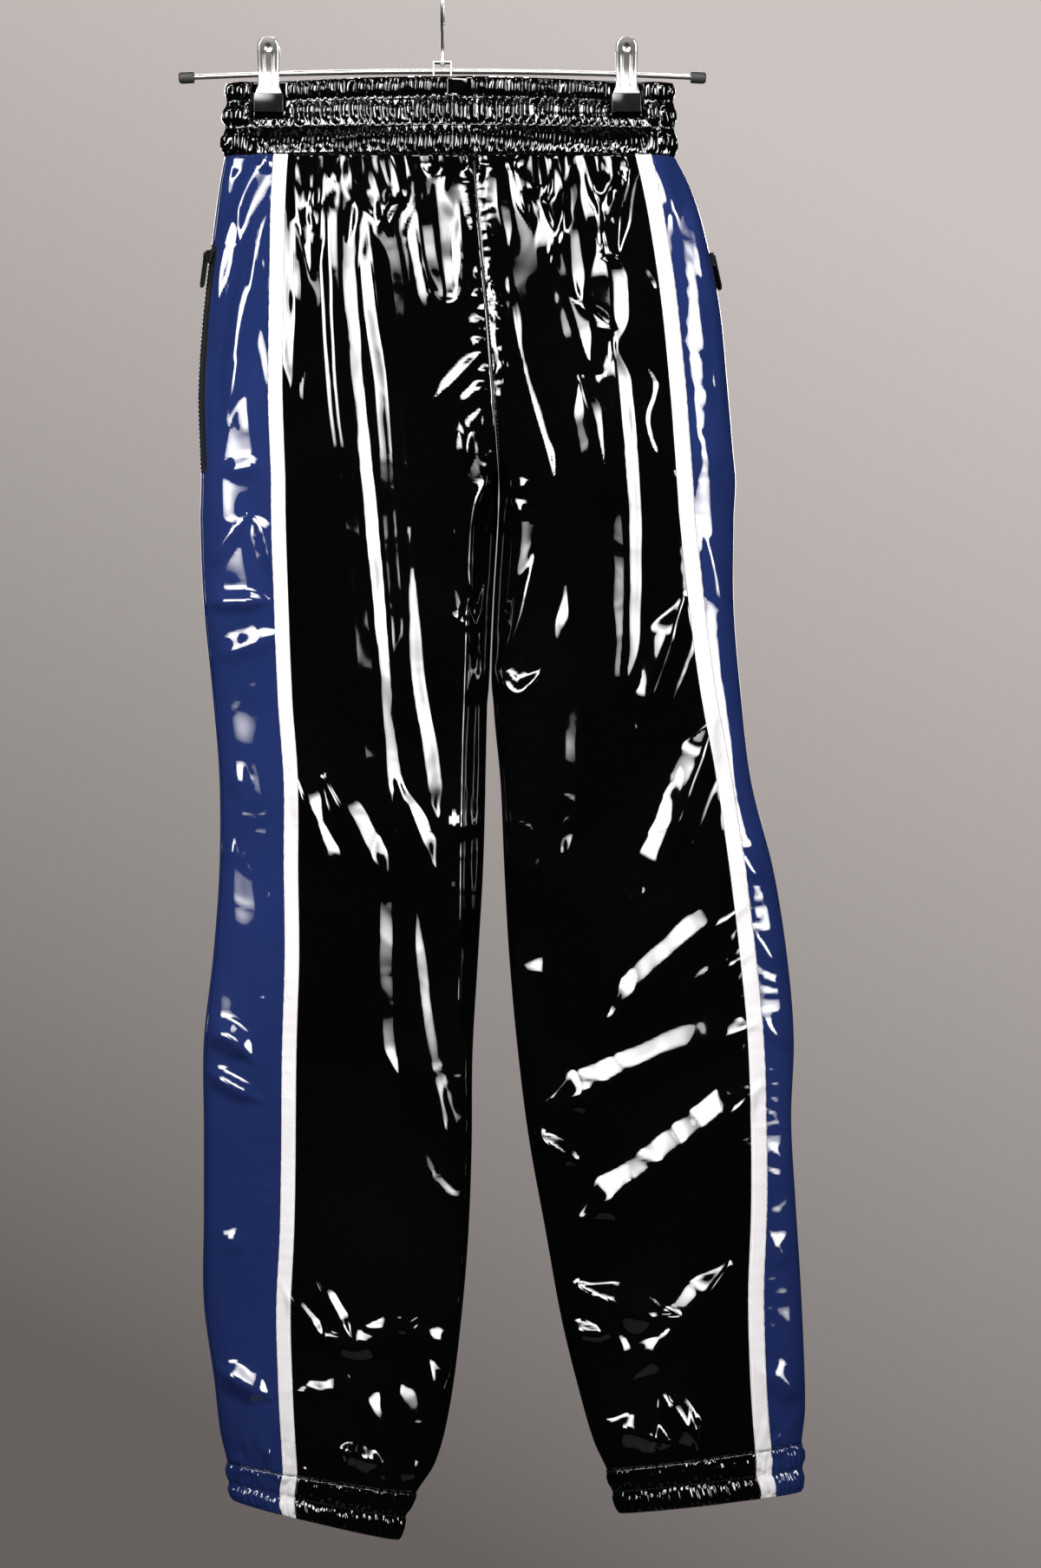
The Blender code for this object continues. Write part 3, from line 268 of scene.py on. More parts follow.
def legRow(side, level):
    # every column of the leg's table at these heights, on the same smooth curve as the CAD's
    table = np.array(legTables[side])
    heights = table[:, 1]
    last = len(table) - 1
    i = np.clip(np.searchsorted(-heights, -level, side="left") - 1, 0, last - 1)
    span = heights[i + 1] - heights[i]
    t = (level - heights[i]) / span
    values = {}
    for index, name in enumerate(legColumns):
        column = table[:, index]
        slopes = []
        for k in (i, i + 1):
            low, high = np.maximum(k - 1, 0), np.minimum(k + 1, last)
            slopes.append((column[high] - column[low]) / (heights[high] - heights[low]) * span)
        values[name] = (column[i] * (1 + 2 * t) * (1 - t) ** 2 + slopes[0] * t * (1 - t) ** 2
                        + column[i + 1] * t * t * (3 - 2 * t) - slopes[1] * t * t * (1 - t))
    return values


def seamDepth(level):
    rise = np.clip((level - leg["crotch"]) / leg["crotchRise"], 0.0, 1.0)
    return (1 - (1 - rise) ** 2) ** (leg["roundness"] / 2)


def smoothLine(line, perSpan=5):
    # a Catmull-Rom curve through a crease's points
    points = np.array(line, dtype=float)
    if len(points) < 3:
        return points
    padded = np.vstack((2 * points[0] - points[1], points, 2 * points[-1] - points[-2]))
    curve = []
    for k in range(len(points) - 1):
        a, b, c, d = padded[k:k + 4]
        for t in np.arange(perSpan) / perSpan:
            curve.append(0.5 * (2 * b + (c - a) * t + (2 * a - 5 * b + 4 * c - d) * t * t
                                + (3 * b - a - 3 * c + d) * t ** 3))
    curve.append(points[-1])
    return np.array(curve)


def addCrease(total, x, z, halfWidth, height, line, skew, openTop):
    # a tented ridge or trough: plain slopes with a soft crest, one side steeper, tapered to its ends
    reach = halfWidth * fold["spread"] * fold["search"]
    low, high = line.min(axis=0) - reach, line.max(axis=0) + reach
    near = (x > low[0]) & (x < high[0]) & (z > low[1]) & (z < high[1])
    if not near.any():
        return
    px, pz = x[near], z[near]
    steps = np.hypot(*np.diff(line, axis=0).T)
    walked = np.concatenate(([0.0], np.cumsum(steps)))
    best = np.full(px.shape, np.inf)
    across = np.zeros(px.shape)
    along = np.zeros(px.shape)
    for k, step in enumerate(steps):
        dx, dz = (line[k + 1] - line[k]) / step
        t = np.clip((px - line[k, 0]) * dx + (pz - line[k, 1]) * dz, 0.0, step)
        awayX, awayZ = px - line[k, 0] - t * dx, pz - line[k, 1] - t * dz
        distance = np.hypot(awayX, awayZ)
        closer = distance < best
        best = np.where(closer, distance, best)
        across = np.where(closer, np.sign(dx * awayZ - dz * awayX), across)
        along = np.where(closer, walked[k] + t, along)
    share = along / walked[-1]
    ending = min(fold["taperShare"], fold["taper"] / walked[-1])
    taper = smoothStep((1 - share) / ending) * (1 - fold["lowerEnd"]) + fold["lowerEnd"]
    if not openTop:
        taper *= smoothStep(share / ending) * (1 - fold["upperEnd"]) + fold["upperEnd"]
    distance = best * (1 + skew * across) / (halfWidth * fold["spread"] * taper)
    slope = 1 - (np.sqrt(distance ** 2 + fold["crest"] ** 2) - fold["crest"])
    rise = np.maximum(0.0, (slope + np.sqrt(slope ** 2 + fold["foot"] ** 2)) / 2 - fold["footDepth"])
    total[near] += height * taper * rise


def ripple(x, z, wavelength, seed, stretch=1.0, count=6):
    # a few sine waves in mixed directions; stretch draws them out along the leg
    dice = np.random.default_rng(seed)
    total = np.zeros(np.broadcast(x, z).shape)
    for _ in range(count):
        turn = dice.uniform(0, pi)
        size = wavelength * dice.uniform(0.7, 1.5)
        wave = (x * cos(turn) + z / stretch * sin(turn)) / size
        total += np.sin(2 * pi * wave + dice.uniform(0, 2 * pi))
    return total / count ** 0.5


def between(value, low, high, soft):
    return smoothStep((value - low) / soft) * smoothStep((high - value) / soft)


# puckers beside a seam: the drop is a share of the length, a stretch has its top, bottom and strength
tapePuckers = {
    "column": "tapeX", "start": 4.6, "clear": 5, "length": (7, 30), "drop": (-0.1, 0.75),
    "halfWidth": (1.7, 2.9), "height": (0.5, 1.1), "spacing": (6.0, 15.0),
}
puckers = {
    "left": {**tapePuckers, "seed": 5, "stretches": (
        (-330, -600, 0.15), (-640, -760, 0.3), (-760, -900, 0.6), (-900, -1090, 0.35))},
    "right": {**tapePuckers, "seed": 6, "stretches": (
        (-200, -380, 0.4), (-380, -600, 0.15), (-640, -890, 0.6), (-890, -1060, 0.35))},
    "centre": {"column": "innerX", "start": 0.8, "clear": 0, "length": (6, 16), "drop": (-0.3, 0.7),
               "halfWidth": (1.6, 2.6), "height": (0.5, 1.3), "spacing": (5.5, 9.0), "seed": 8,
               "stretches": ((-150.0, -375, 1),)},
}


def seamPuckers(side, spec):
    # short creases that leave a seam on both sides
    dice = np.random.default_rng(spec["seed"])
    creases = []
    for top, bottom, strength in spec["stretches"]:
        z = top
        while z > bottom:
            x = float(legRow(side, np.array(z))[spec["column"]])
            for sign in (-1, 1):
                length = dice.uniform(*spec["length"])
                drop = dice.uniform(*spec["drop"]) * length
                line = ((x + sign * spec["start"], z), (x + sign * (spec["clear"] + length), z - drop))
                halfWidth = dice.uniform(*spec["halfWidth"])
                creases.append((halfWidth, strength * dice.uniform(*spec["height"]), line))
            z -= dice.uniform(*spec["spacing"])
    return creases


# the folds that the waistband and the cuffs throw into the cloth: away says which way they run from there
gathers = {
    "lean": (-0.3, 0.3), "bend": (-0.12, 0.12), "steepness": (0.4, 0.75), "hidden": 2.0,
    "top": {"seeds": {"left": 31, "right": 32}, "away": -1, "length": (14, 85), "halfWidth": (2.2, 5.4),
            "spacing": (4.5, 15.0)},
    "bottom": {"seeds": {"left": 11, "right": 12}, "away": 1, "length": (10, 40), "halfWidth": (1.8, 3.4),
               "spacing": (3.5, 8.5)},
}


def edgeGathers(side, end):
    spec = gathers[end]
    dice = np.random.default_rng(spec["seeds"][side])
    edge = leg["waistSeam"] if end == "top" else legTables[side][cuffRow][1]
    row = legRow(side, np.array(float(edge)))
    outerX, innerX = float(row["outerX"]), float(row["innerX"])
    drop = 0.0 if end == "top" else float(row["innerZ"]) - edge
    creases = []
    x = min(outerX, innerX) + 3
    while x < max(outerX, innerX) - 2:
        share = (x - outerX) / (innerX - outerX)
        startZ = edge + drop * share - spec["away"] * gathers["hidden"]
        length = dice.uniform(*spec["length"])
        lean = dice.uniform(*gathers["lean"]) * length
        endZ = startZ + spec["away"] * length
        halfWidth = dice.uniform(*spec["halfWidth"])
        height = halfWidth * dice.uniform(*gathers["steepness"])
        bend = dice.uniform(*gathers["bend"]) * length
        middle = (x + lean / 2 + bend, (startZ + endZ) / 2)
        creases.append((halfWidth, height, ((x, startZ), middle, (x + lean, endZ))))
        x += dice.uniform(*spec["spacing"])
    return creases


def longer(line, least):
    # a short crease runs on a little at both ends, so that its middle is a plain slope
    span = line[-1] - line[0]
    length = np.linalg.norm(span)
    if fold["shortest"] < length < least:
        step = span / length * (least - length) / 2
        line = np.vstack((line[0] - step, line[1:-1], line[-1] + step))
    return line


# front folds below this height show the soft boxes: the slopes at which each box shows, and their limits
shine = {
    "below": -450, "runOn": 22, "probe": 0.06, "topBox": 0.08, "topBoxByHeight": 0.00035, "leftBox": 0.39,
    "rightBox": 0.46, "leastTurn": 0.6, "slopes": (0.3, 0.62),
}


def shiningSlope(side, line):
    # how steep a tall fold's upper flank is so that a soft box shows in it, from the way the fold runs
    x, z = line.mean(axis=0)
    along = line[-1] - line[0]
    across = np.array((-along[1], along[0])) / np.hypot(*along)
    across *= 1 if across[1] > 0 else -1
    slopes = []
    if across[0] < 0:
        slopes.append((shine["topBox"] - shine["topBoxByHeight"] * z) / across[1])
    row = legRow(side, z)
    if (x - row["outerX"]) * (x - row["innerX"]) <= 0:
        angle = angleAtX(side, z, x)
        near, far = (skin(side, np.array(z), np.array(angle + step), raised=False)
                     for step in (-shine["probe"], shine["probe"]))
        lean = -(far[1] - near[1]) / (far[0] - near[0])
        if across[0] < 0:
            slopes.append((shine["leftBox"] - lean) / -across[0])
        else:
            slopes.append((shine["rightBox"] + lean) / max(shine["leastTurn"], across[0]))
    # a fold of the other leg that faces right doesn't reach over to this one
    return float(np.clip(min(slopes), *shine["slopes"])) if slopes else 0.0


@cache
def creaseTable(face, side):
    # every crease of one face of one leg, with its random skew settled once
    centre = seamPuckers("left", puckers["centre"])
    if face == "front":
        creases = list(frontFolds) + seamPuckers(side, puckers[side]) + centre
    else:
        creases = list(backFolds) + centre
        for width, height, line in frontFolds[::2]:
            creases.append((width * fold["backWidth"], height * fold["backHeight"],
                            np.array(line) + fold["backShift"]))
    dice = np.random.default_rng(40 + len(creases))
    table = []
    for width, height, line in creases:
        line = np.array(line, dtype=float)
        if height > fold["small"]:
            if face == "front" and line[:, 1].mean() < shine["below"]:
                height = shiningSlope(side, line) * width * fold["spread"]
                line = longer(line, np.hypot(*(line[-1] - line[0])) + shine["runOn"])
            else:
                height = max(height, fold["flank"] * width * fold["spread"])
                line = longer(line, fold["least"])
        skew = dice.uniform(-fold["skew"], fold["skew"])
        table.append((width, height, smoothLine(line), skew, line[0][1] > fold["openAbove"]))
    for width, height, line in edgeGathers(side, "top") + edgeGathers(side, "bottom"):
        table.append((width, height, smoothLine(line), 0.0, True))
    return table


# low waves under the creases: height, wavelength and how far they are drawn out along the leg
waves = {"upper": (0.4, 30, 8), "lower": (0.5, 70, 1.4), "fine": (0.085, 16, 2), "side": (0.85, 44, 1.7)}
waveRanges = {
    "upperFrom": -620, "upperOver": 160,
    # the sides' waves lie beyond the tape and are full only on the upper leg
    "sideFrom": 4, "sideOver": 10, "sideFull": (-540, -120, 70), "sideLeast": 0.25, "sideLean": 0.4,
}
# fine broken lines, strongest at the knees, at the ankles and round the crotch
crumple = {
    "height": 0.32, "size": 46, "narrow": 2.2, "sharp": 1.5, "least": 0.2, "sway": 6, "swayLength": 23,
    "ranges": ((-700, -590, 30), (-960, -770, 60), (-1110, -985, 30)),
    "crotchX": 38, "crotchZ": -385, "crotchWidth": 38, "crotchHeight": 75,
}


def wave(name, x, z, seed, share=1.0):
    height, wavelength, stretch = waves[name]
    return share * height * ripple(x, z, wavelength, seed, stretch=stretch)


def relief(face, side, x, z):
    # how far the creases lift the cloth
    total = np.zeros(x.shape)
    for crease in creaseTable(face, side):
        addCrease(total, x, z, *crease)
    seed = 3 if face == "front" else 4
    upper = smoothStep((z - waveRanges["upperFrom"]) / waveRanges["upperOver"])
    total += wave("upper", x, z, seed, upper)
    total += wave("lower", x, z, seed + 10, 1 - upper)
    total += wave("fine", x, z, seed + 20)
    beyondTape = np.abs(x) - np.abs(legRow(side, z)["tapeX"])
    least = waveRanges["sideLeast"]
    sideways = smoothStep((beyondTape - waveRanges["sideFrom"]) / waveRanges["sideOver"])
    sideways = sideways * (least + (1 - least) * between(z, *waveRanges["sideFull"]))
    total += wave("side", x + z * waveRanges["sideLean"], z, seed + 50, sideways)
    crumpled = sum(between(z, *limits) for limits in crumple["ranges"])
    crumpled = crumpled + np.exp(-((x - crumple["crotchX"]) / crumple["crotchWidth"]) ** 2
                                 - ((z - crumple["crotchZ"]) / crumple["crotchHeight"]) ** 2)
    swayed = x + crumple["sway"] * np.sin(z / crumple["swayLength"])
    lines = np.abs(ripple(swayed, z, crumple["size"], seed + 30))
    strength = (crumple["least"] + (1 - crumple["least"]) * crumpled) * crumple["height"]
    total += strength * np.maximum(0.0, 1 - crumple["narrow"] * lines) ** crumple["sharp"]
    return total


def skin(side, level, angle, inset=0.0, raised=True):
    # points of a leg's cloth: angle 0 is the outer edge, pi the inner one, positive in front
    row = legRow(side, level)
    seam = seamDepth(level)
    towardCentre = 1 if side == "left" else -1
    outerX = row["outerX"] + towardCentre * inset
    touching = leg["touch"] * between(level, *leg["touchRange"])
    innerX = row["innerX"] + towardCentre * (touching - leg["seamGap"] / 2 - inset * (1 - seam))
    across = (1 - np.cos(angle)) / 2
    x = outerX + (innerX - outerX) * across
    z = level + (row["innerZ"] - level) * across
    fromOuter = np.minimum(1.0, np.abs(x - outerX) / (row["outerRound"] - inset))
    fromInner = np.minimum(1.0, np.abs(x - innerX) / (row["innerRound"] - inset))
    power = leg["roundness"] / 2
    bulge = (1 - (1 - fromOuter) ** 2) ** power
    # away from the seam the cloth eases into the crotch without an edge
    rise = leg["crotchRise"]
    easing = smoothStep((level - leg["crotch"] + leg["easeBelow"] * rise) / (leg["easeOver"] * rise))
    eased = smoothStep(fromInner / leg["easeShare"])
    fullness = seam ** (1 / power) * (1 - eased) + easing * eased
    bulge = bulge * (1 - (1 - fullness) * (1 - fromInner) ** 2) ** power
    front = np.sin(angle) > 0
    depth = (np.where(front, row["front"], row["back"]) - inset) * bulge
    if raised:
        lift = np.zeros(depth.shape)
        for face, chosen in (("front", front), ("back", ~front)):
            chosen = np.broadcast_to(chosen, depth.shape)
            if chosen.any():
                px, pz = np.broadcast_to(x, depth.shape)[chosen], np.broadcast_to(z, depth.shape)[chosen]
                lift[chosen] = relief(face, side, px, pz)
        depth = depth + smoothStep(bulge / leg["fullCreases"]) * lift
    depth = np.maximum(depth, leg["seamGap"] / 2)
    y = np.where(front, -depth, depth)
    return np.stack(np.broadcast_arrays(x, y, z), axis=-1)


def angleAtX(side, level, x):
    row = legRow(side, level)
    return np.arccos(1 - 2 * (x - row["outerX"]) / (row["innerX"] - row["outerX"]))


def angleStep(side, level, angle, distance):
    small = 0.01
    ahead = skin(side, level, angle + small, raised=False)
    behind = skin(side, level, angle - small, raised=False)
    return distance * 2 * small / np.linalg.norm(ahead - behind, axis=-1)


def seamAngles(side, level):
    # the tape's outer edge, the seam under it and the tape's inner edge
    row = legRow(side, level)
    half = leg["tapeWidth"][side] / 2 * (1 if side == "left" else -1)
    return [angleAtX(side, level, row["tapeX"] + shift) for shift in (-half, 0.0, half)]


rowsAveraged = 12


def evenAngles(side, level, start, end, count):
    # angles at even distances along each row
    fine = start[:, None] + (end - start)[:, None] * np.linspace(0, 1, 160)
    points = skin(side, level[:, None], fine, raised=False)
    steps = np.linalg.norm(np.diff(points, axis=1), axis=-1)
    walked = np.concatenate((np.zeros((len(level), 1)), np.cumsum(steps, axis=1)), axis=1)
    rows = [np.interp(np.linspace(0, distances[-1], count), distances, angles)
            for distances, angles in zip(walked, fine)]
    # neighbouring rows are averaged, so that no row of faces jumps sideways at the crotch
    shares = (np.array(rows) - start[:, None]) / (end - start)[:, None]
    padded = np.pad(shares, ((rowsAveraged, rowsAveraged), (0, 0)), mode="edge")
    weights = np.hanning(2 * rowsAveraged + 3)[1:-1]
    shares = sum(weight * padded[k:k + len(level)] for k, weight in enumerate(weights)) / weights.sum()
    return start[:, None] + (end - start)[:, None] * shares


def sideEdge(side, level, face):
    # a side panel begins at the side seam, or at the zip
    seam = np.full(level.shape, leg["sideSeamTurn"][side])
    opening = (smoothStep((level - leg["zipBottom"]) / leg["zipTaper"])
               * smoothStep((leg["zipTop"] - level) / leg["zipTaper"]))
    apart = leg["seamGap"] / 2 + (leg["zipHalfWidth"] - leg["seamGap"] / 2) * opening
    return seam + (1 if face == "front" else -1) * angleStep(side, level, seam, apart)


def quadGrid(rows, columns, start, ring):
    index = start + np.arange(rows * columns).reshape(rows, columns)
    if ring:
        index = np.concatenate((index, index[:, :1]), axis=1)
    quads = np.stack((index[:-1, :-1], index[:-1, 1:], index[1:, 1:], index[1:, :-1]), axis=-1)
    return quads.reshape(-1, 4), index


def meshObject(name, points, faces, material, uv=None):
    mesh = bpy.data.meshes.new(name)
    mesh.from_pydata((np.asarray(points) * mm).tolist(), [], [list(face) for face in faces])
    if uv is not None:
        layer = mesh.uv_layers.new(name="cloth")
        corner = np.zeros(len(mesh.loops), dtype=np.int32)
        mesh.loops.foreach_get("vertex_index", corner)
        layer.data.foreach_set("uv", np.asarray(uv, dtype=np.float32)[corner].ravel())
    builder = bmesh.new()
    builder.from_mesh(mesh)
    bmesh.ops.recalc_face_normals(builder, faces=builder.faces)
    builder.to_mesh(mesh)
    builder.free()
    mesh.materials.append(material)
    mesh.shade_smooth()
    made = bpy.data.objects.new(name, mesh)
    bpy.context.scene.collection.objects.link(made)
    return made


def clothShell(name, outer, inner, material, ring=False):
    # a closed wall between two skins of points, with a uv in metres along and across
    rows, columns = outer.shape[:2]
    faces, outerIndex = quadGrid(rows, columns, 0, ring)
    innerFaces, innerIndex = quadGrid(inner.shape[0], columns, rows * columns, ring)
    parts = [faces, innerFaces[:, ::-1]]
    for end in (0, -1):
        parts.append(np.stack((outerIndex[end, :-1], innerIndex[end, :-1],
                               innerIndex[end, 1:], outerIndex[end, 1:]), axis=-1))
    if not ring:
        for column in (0, -1):
            parts.append(np.stack((outerIndex[:-1, column], outerIndex[1:, column],
                                   innerIndex[1:, column], innerIndex[:-1, column]), axis=-1))
    points = np.concatenate((outer.reshape(-1, 3), inner.reshape(-1, 3)))
    uvs = []
    for grid in (outer, inner):
        across = np.concatenate((np.zeros((grid.shape[0], 1)),
                                 np.cumsum(np.linalg.norm(np.diff(grid, axis=1), axis=-1), axis=1)), axis=1)
        along = np.concatenate((np.zeros((1, columns)),
                                np.cumsum(np.linalg.norm(np.diff(grid, axis=0), axis=-1), axis=0)), axis=0)
        uvs.append(np.stack((across, along), axis=-1).reshape(-1, 2) * mm)
    return meshObject(name, points, np.concatenate(parts), material, np.concatenate(uvs))


# a node socket that takes part in sums
class Wire:
    def __init__(self, tree, socket):
        self.tree = tree
        self.socket = socket

    def maths(self, operation, first, second=None):
        values = {0: first} if second is None else {0: first, 1: second}
        return addNode(self.tree, "ShaderNodeMath", {"operation": operation}, values)

    def __add__(self, other):
        return self.maths("ADD", self, other)

    def __radd__(self, other):
        return self.maths("ADD", other, self)

    def __sub__(self, other):
        return self.maths("SUBTRACT", self, other)

    def __rsub__(self, other):
        return self.maths("SUBTRACT", other, self)

    def __mul__(self, other):
        return self.maths("MULTIPLY", self, other)

    def __rmul__(self, other):
        return self.maths("MULTIPLY", other, self)

    def sine(self):
        return self.maths("SINE", self)

    def clamped(self):
        return self.clampedTo(0.0, 1.0)

    def clampedTo(self, low, high):
        return addNode(self.tree, "ShaderNodeClamp", {}, {0: self, 1: low, 2: high})


def addNode(tree, kind, settings, inputs, output=0):
    # one node with its settings and inputs; wires are linked and plain values are set
    node = tree.nodes.new(kind)
    for name, value in settings.items():
        setattr(node, name, value)
    for name, value in inputs.items():
        if isinstance(value, Wire):
            tree.links.new(value.socket, node.inputs[name])
        else:
            node.inputs[name].default_value = value
    return None if output is None else Wire(tree, node.outputs[output])


def newMaterial(name, constants):
    # a Principled material with the sockets that are the same all over
    material = bpy.data.materials.new(name)
    material.use_nodes = True
    tree = material.node_tree
    shader = tree.nodes["Principled BSDF"]
    for socket, value in constants.items():
        shader.inputs[socket].default_value = value
    return material, tree, shader


def noise(tree, scale, detail=2.0, stretch=None):
    where = addNode(tree, "ShaderNodeTexCoord", {}, {}, "Object")
    if stretch is not None:
        where = addNode(tree, "ShaderNodeVectorMath", {"operation": "MULTIPLY"}, {0: where, 1: stretch})
    return addNode(tree, "ShaderNodeTexNoise", {}, {"Vector": where, "Scale": scale, "Detail": detail}, "Fac")


def mixColours(tree, share, first, second):
    values = {"Factor": share, 6: (*first, 1), 7: (*second, 1)}
    return addNode(tree, "ShaderNodeMix", {"data_type": "RGBA"}, values, 2)


def link(wire, shader, socket):
    wire.tree.links.new(wire.socket, shader.inputs[socket])

def bump(tree, height, strength, distance):
    values = {"Height": height, "Strength": strength, "Distance": distance}
    return addNode(tree, "ShaderNodeBump", {}, values, "Normal")


def pvcMaterial(name, colour, worn):
    # lacquered cloth: even colour, fine orange peel and a few duller patches where it was handled
    lacquer = {"Specular IOR Level": 0.0, "Coat Roughness": 0.035, "Coat IOR": 1.75}
    material, tree, shader = newMaterial(name, lacquer)
    patches = noise(tree, scale=9.0, detail=3.0)
    fine = noise(tree, scale=420.0)
    peel = noise(tree, scale=90.0, detail=1.0)
    link(mixColours(tree, ((patches - 0.45) * 3.0).clamped(), colour, worn), shader, "Base Color")
    link(0.4 + (patches - 0.5) * 0.06 + (fine - 0.5) * 0.03, shader, "Roughness")
    link(0.85 + (patches - 0.5) * 0.3, shader, "Coat Weight")
    link(bump(tree, peel * 0.7 + fine * 0.3, strength=0.25, distance=0.0004), shader, "Normal")
    return material


def tapeMaterial(name, colour, soiled):
    # a plain woven tape: threads across and along its own uv
    material, tree, shader = newMaterial(name, {"Sheen Weight": 0.25, "Sheen Roughness": 0.4})
    place = addNode(tree, "ShaderNodeUVMap", {"uv_map": "cloth"}, {}, "UV")
    u, v = (addNode(tree, "ShaderNodeSeparateXYZ", {}, {0: place}, k) for k in (0, 1))
    threads = 2 * pi / (0.55 * mm)
    weave = (u * threads).sine() * (v * threads).sine()
    dirt = noise(tree, scale=14.0, detail=4.0)
    share = (dirt * 0.5 + weave * 0.25 + 0.1).clamped()
    link(mixColours(tree, share, colour, soiled), shader, "Base Color")
    link(0.72 + weave * 0.08, shader, "Roughness")
    link(bump(tree, weave, strength=0.5, distance=0.00015), shader, "Normal")
    return material


def metalMaterial(name, colour, roughness):
    material, tree, shader = newMaterial(name, {"Metallic": 1.0, "Coat Weight": 0.8, "Coat Roughness": 0.04})
    scratches = noise(tree, scale=60.0, detail=4.0, stretch=(1.0, 1.0, 6.0))
    link(mixColours(tree, scratches, colour, tuple(value * 0.82 for value in colour)), shader, "Base Color")
    link(roughness + (scratches - 0.5) * 0.1, shader, "Roughness")
    link(bump(tree, noise(tree, scale=300.0, detail=3.0), strength=0.08, distance=0.0001), shader, "Normal")
    return material


def softMaterial(name, colour, roughness, grain, shine=0.5):
    # rubber, vinyl, zip tape and thread
    material, tree, shader = newMaterial(name, {"IOR": 1.5, "Specular IOR Level": shine})
    speck = noise(tree, grain, detail=3.0)
    paler = tuple(min(1.0, value * 1.7 + 0.004) for value in colour)
    link(mixColours(tree, speck, colour, paler), shader, "Base Color")
    link(roughness + (speck - 0.5) * 0.15, shader, "Roughness")
    link(bump(tree, speck, strength=0.25, distance=0.0002), shader, "Normal")
    return material


materials = {
    "pvc_black": pvcMaterial("blackPvc", (0.0008, 0.0007, 0.0008), (0.0015, 0.0014, 0.0014)),
    "pvc_blue": pvcMaterial("bluePvc", (0.009, 0.0175, 0.075), (0.012, 0.022, 0.092)),
    "white_tape": tapeMaterial("whiteTape", (0.68, 0.665, 0.69), (0.52, 0.505, 0.53)),
    "zip_black": softMaterial("zipBlack", (0.003, 0.003, 0.003), 0.68, 500.0, shine=0.1),
    "chrome": metalMaterial("chromePlate", (0.66, 0.65, 0.645), 0.33),
    "rubber_black": softMaterial("capRubber", (0.013, 0.013, 0.013), 0.55, 240.0),
    "vinyl_sleeve": softMaterial("sleeveVinyl", (0.004, 0.004, 0.004), 0.12, 120.0),
    "black_thread": softMaterial("blackThread", (0.004, 0.004, 0.004), 0.75, 900.0),
    "white_thread": softMaterial("whiteThread", (0.78, 0.77, 0.78), 0.7, 900.0),
}
print("materials made")


def dressNodes():
    # a CAD node that stays shown takes the finish of its own slot
    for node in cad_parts.values():
        for slot in node.material_slots:
            slot.material = materials[slot.material.name.split(".")[0]]


def finishPiece(piece, node):
    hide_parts(node)
    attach(piece, "root")


def addCloth(name, node, slotName, outer, inner, ring=False):
    # a closed wall of cloth between the two skins, shown in place of its CAD node
    shell = clothShell(name, outer, inner, materials[slotName], ring)
    finishPiece(shell, node)


# lines that the sewing follows, each with its points and the way out of the cloth
seams = {"white": [], "black": [], "coil": []}


def outward(grid):
    # unit normals of a grid of points, turned away from the inside
    normal = np.cross(np.gradient(grid, axis=0), np.gradient(grid, axis=1))
    normal /= np.maximum(1e-9, np.linalg.norm(normal, axis=-1))[..., None]
    facing = np.where(grid[..., 1:2] < 0, -1.0, 1.0)
    return normal * np.sign(normal[..., 1:2] * facing + 1e-9)


def sewAlong(kind, grid, column=None, row=None, lift=0.1):
    normal = outward(grid)
    picked = (slice(None), column) if row is None else (row, slice(None))
    seams[kind].append((grid[picked] + normal[picked] * lift, normal[picked]))


# spacing is the width of a face and rows its height
panels = {
    "front": {"slot": "pvc_black", "spacing": 2.2, "rows": 2.45},
    "back": {"slot": "pvc_black", "spacing": 3.4, "rows": 3.7},
    "side_front": {"slot": "pvc_blue", "spacing": 2.3, "rows": 2.6},
    "side_back": {"slot": "pvc_blue", "spacing": 3.4, "rows": 3.7},
}
panelMake = {
    "curved": 1.25, "moreColumns": 8, "fullness": 1.08, "stitchInset": 2.2, "pastZip": 6, "aboveCrotch": 8,
}


def legLevels(side, spacing):
    bottom = legTables[side][cuffRow][1]
    return np.linspace(leg["waistSeam"], bottom, int((leg["waistSeam"] - bottom) / spacing))


def panelSpan(side, level, piece):
    seam = seamAngles(side, level)[1]
    gap = angleStep(side, level, seam, leg["seamGap"] / 2)
    if piece == "front":
        return seam + gap, np.full(level.shape, pi)
    if piece == "back":
        return -(seam + gap), np.full(level.shape, -pi)
    if piece == "side_front":
        return sideEdge(side, level, "front"), seam - gap
    return sideEdge(side, level, "back"), gap - seam


def addPanel(side, piece):
    spec = panels[piece]
    level = legLevels(side, spec["rows"])
    start, end = panelSpan(side, level, piece)
    middle = len(level) // 2
    ends = [skin(side, level[middle], np.array(turn[middle])) for turn in (start, end)]
    width = panelMake["curved"] * np.linalg.norm(ends[0] - ends[1])
    columns = int(width / spec["spacing"]) + panelMake["moreColumns"]
    angles = evenAngles(side, level, start, end, columns)
    outer = skin(side, level[:, None], angles)
    inner = skin(side, level[:, None], angles, leg["wall"])
    plain = skin(side, level[:, None], angles, raised=False)
    addCloth(f"cloth_{piece}_{side}", f"{piece}_{side}", spec["slot"], outer, inner)
    faceWidth = np.linalg.norm(outer[middle, 0] - outer[middle, -1]) / columns
    beside = max(1, round(panelMake["stitchInset"] / faceWidth))
    if piece.startswith("side"):
        past = panelMake["pastZip"]
        zipped = (level > leg["zipBottom"] - past) & (level < leg["zipTop"] + past)
        sewAlong("black", outer[zipped], column=beside)
    elif side == "right":
        torso = level > leg["crotch"] + panelMake["aboveCrotch"]
        sewAlong("black", outer[torso], column=columns - 1 - beside)


for side in sides:
    for piece in panels:
        addPanel(side, piece)
print("leg panels made")

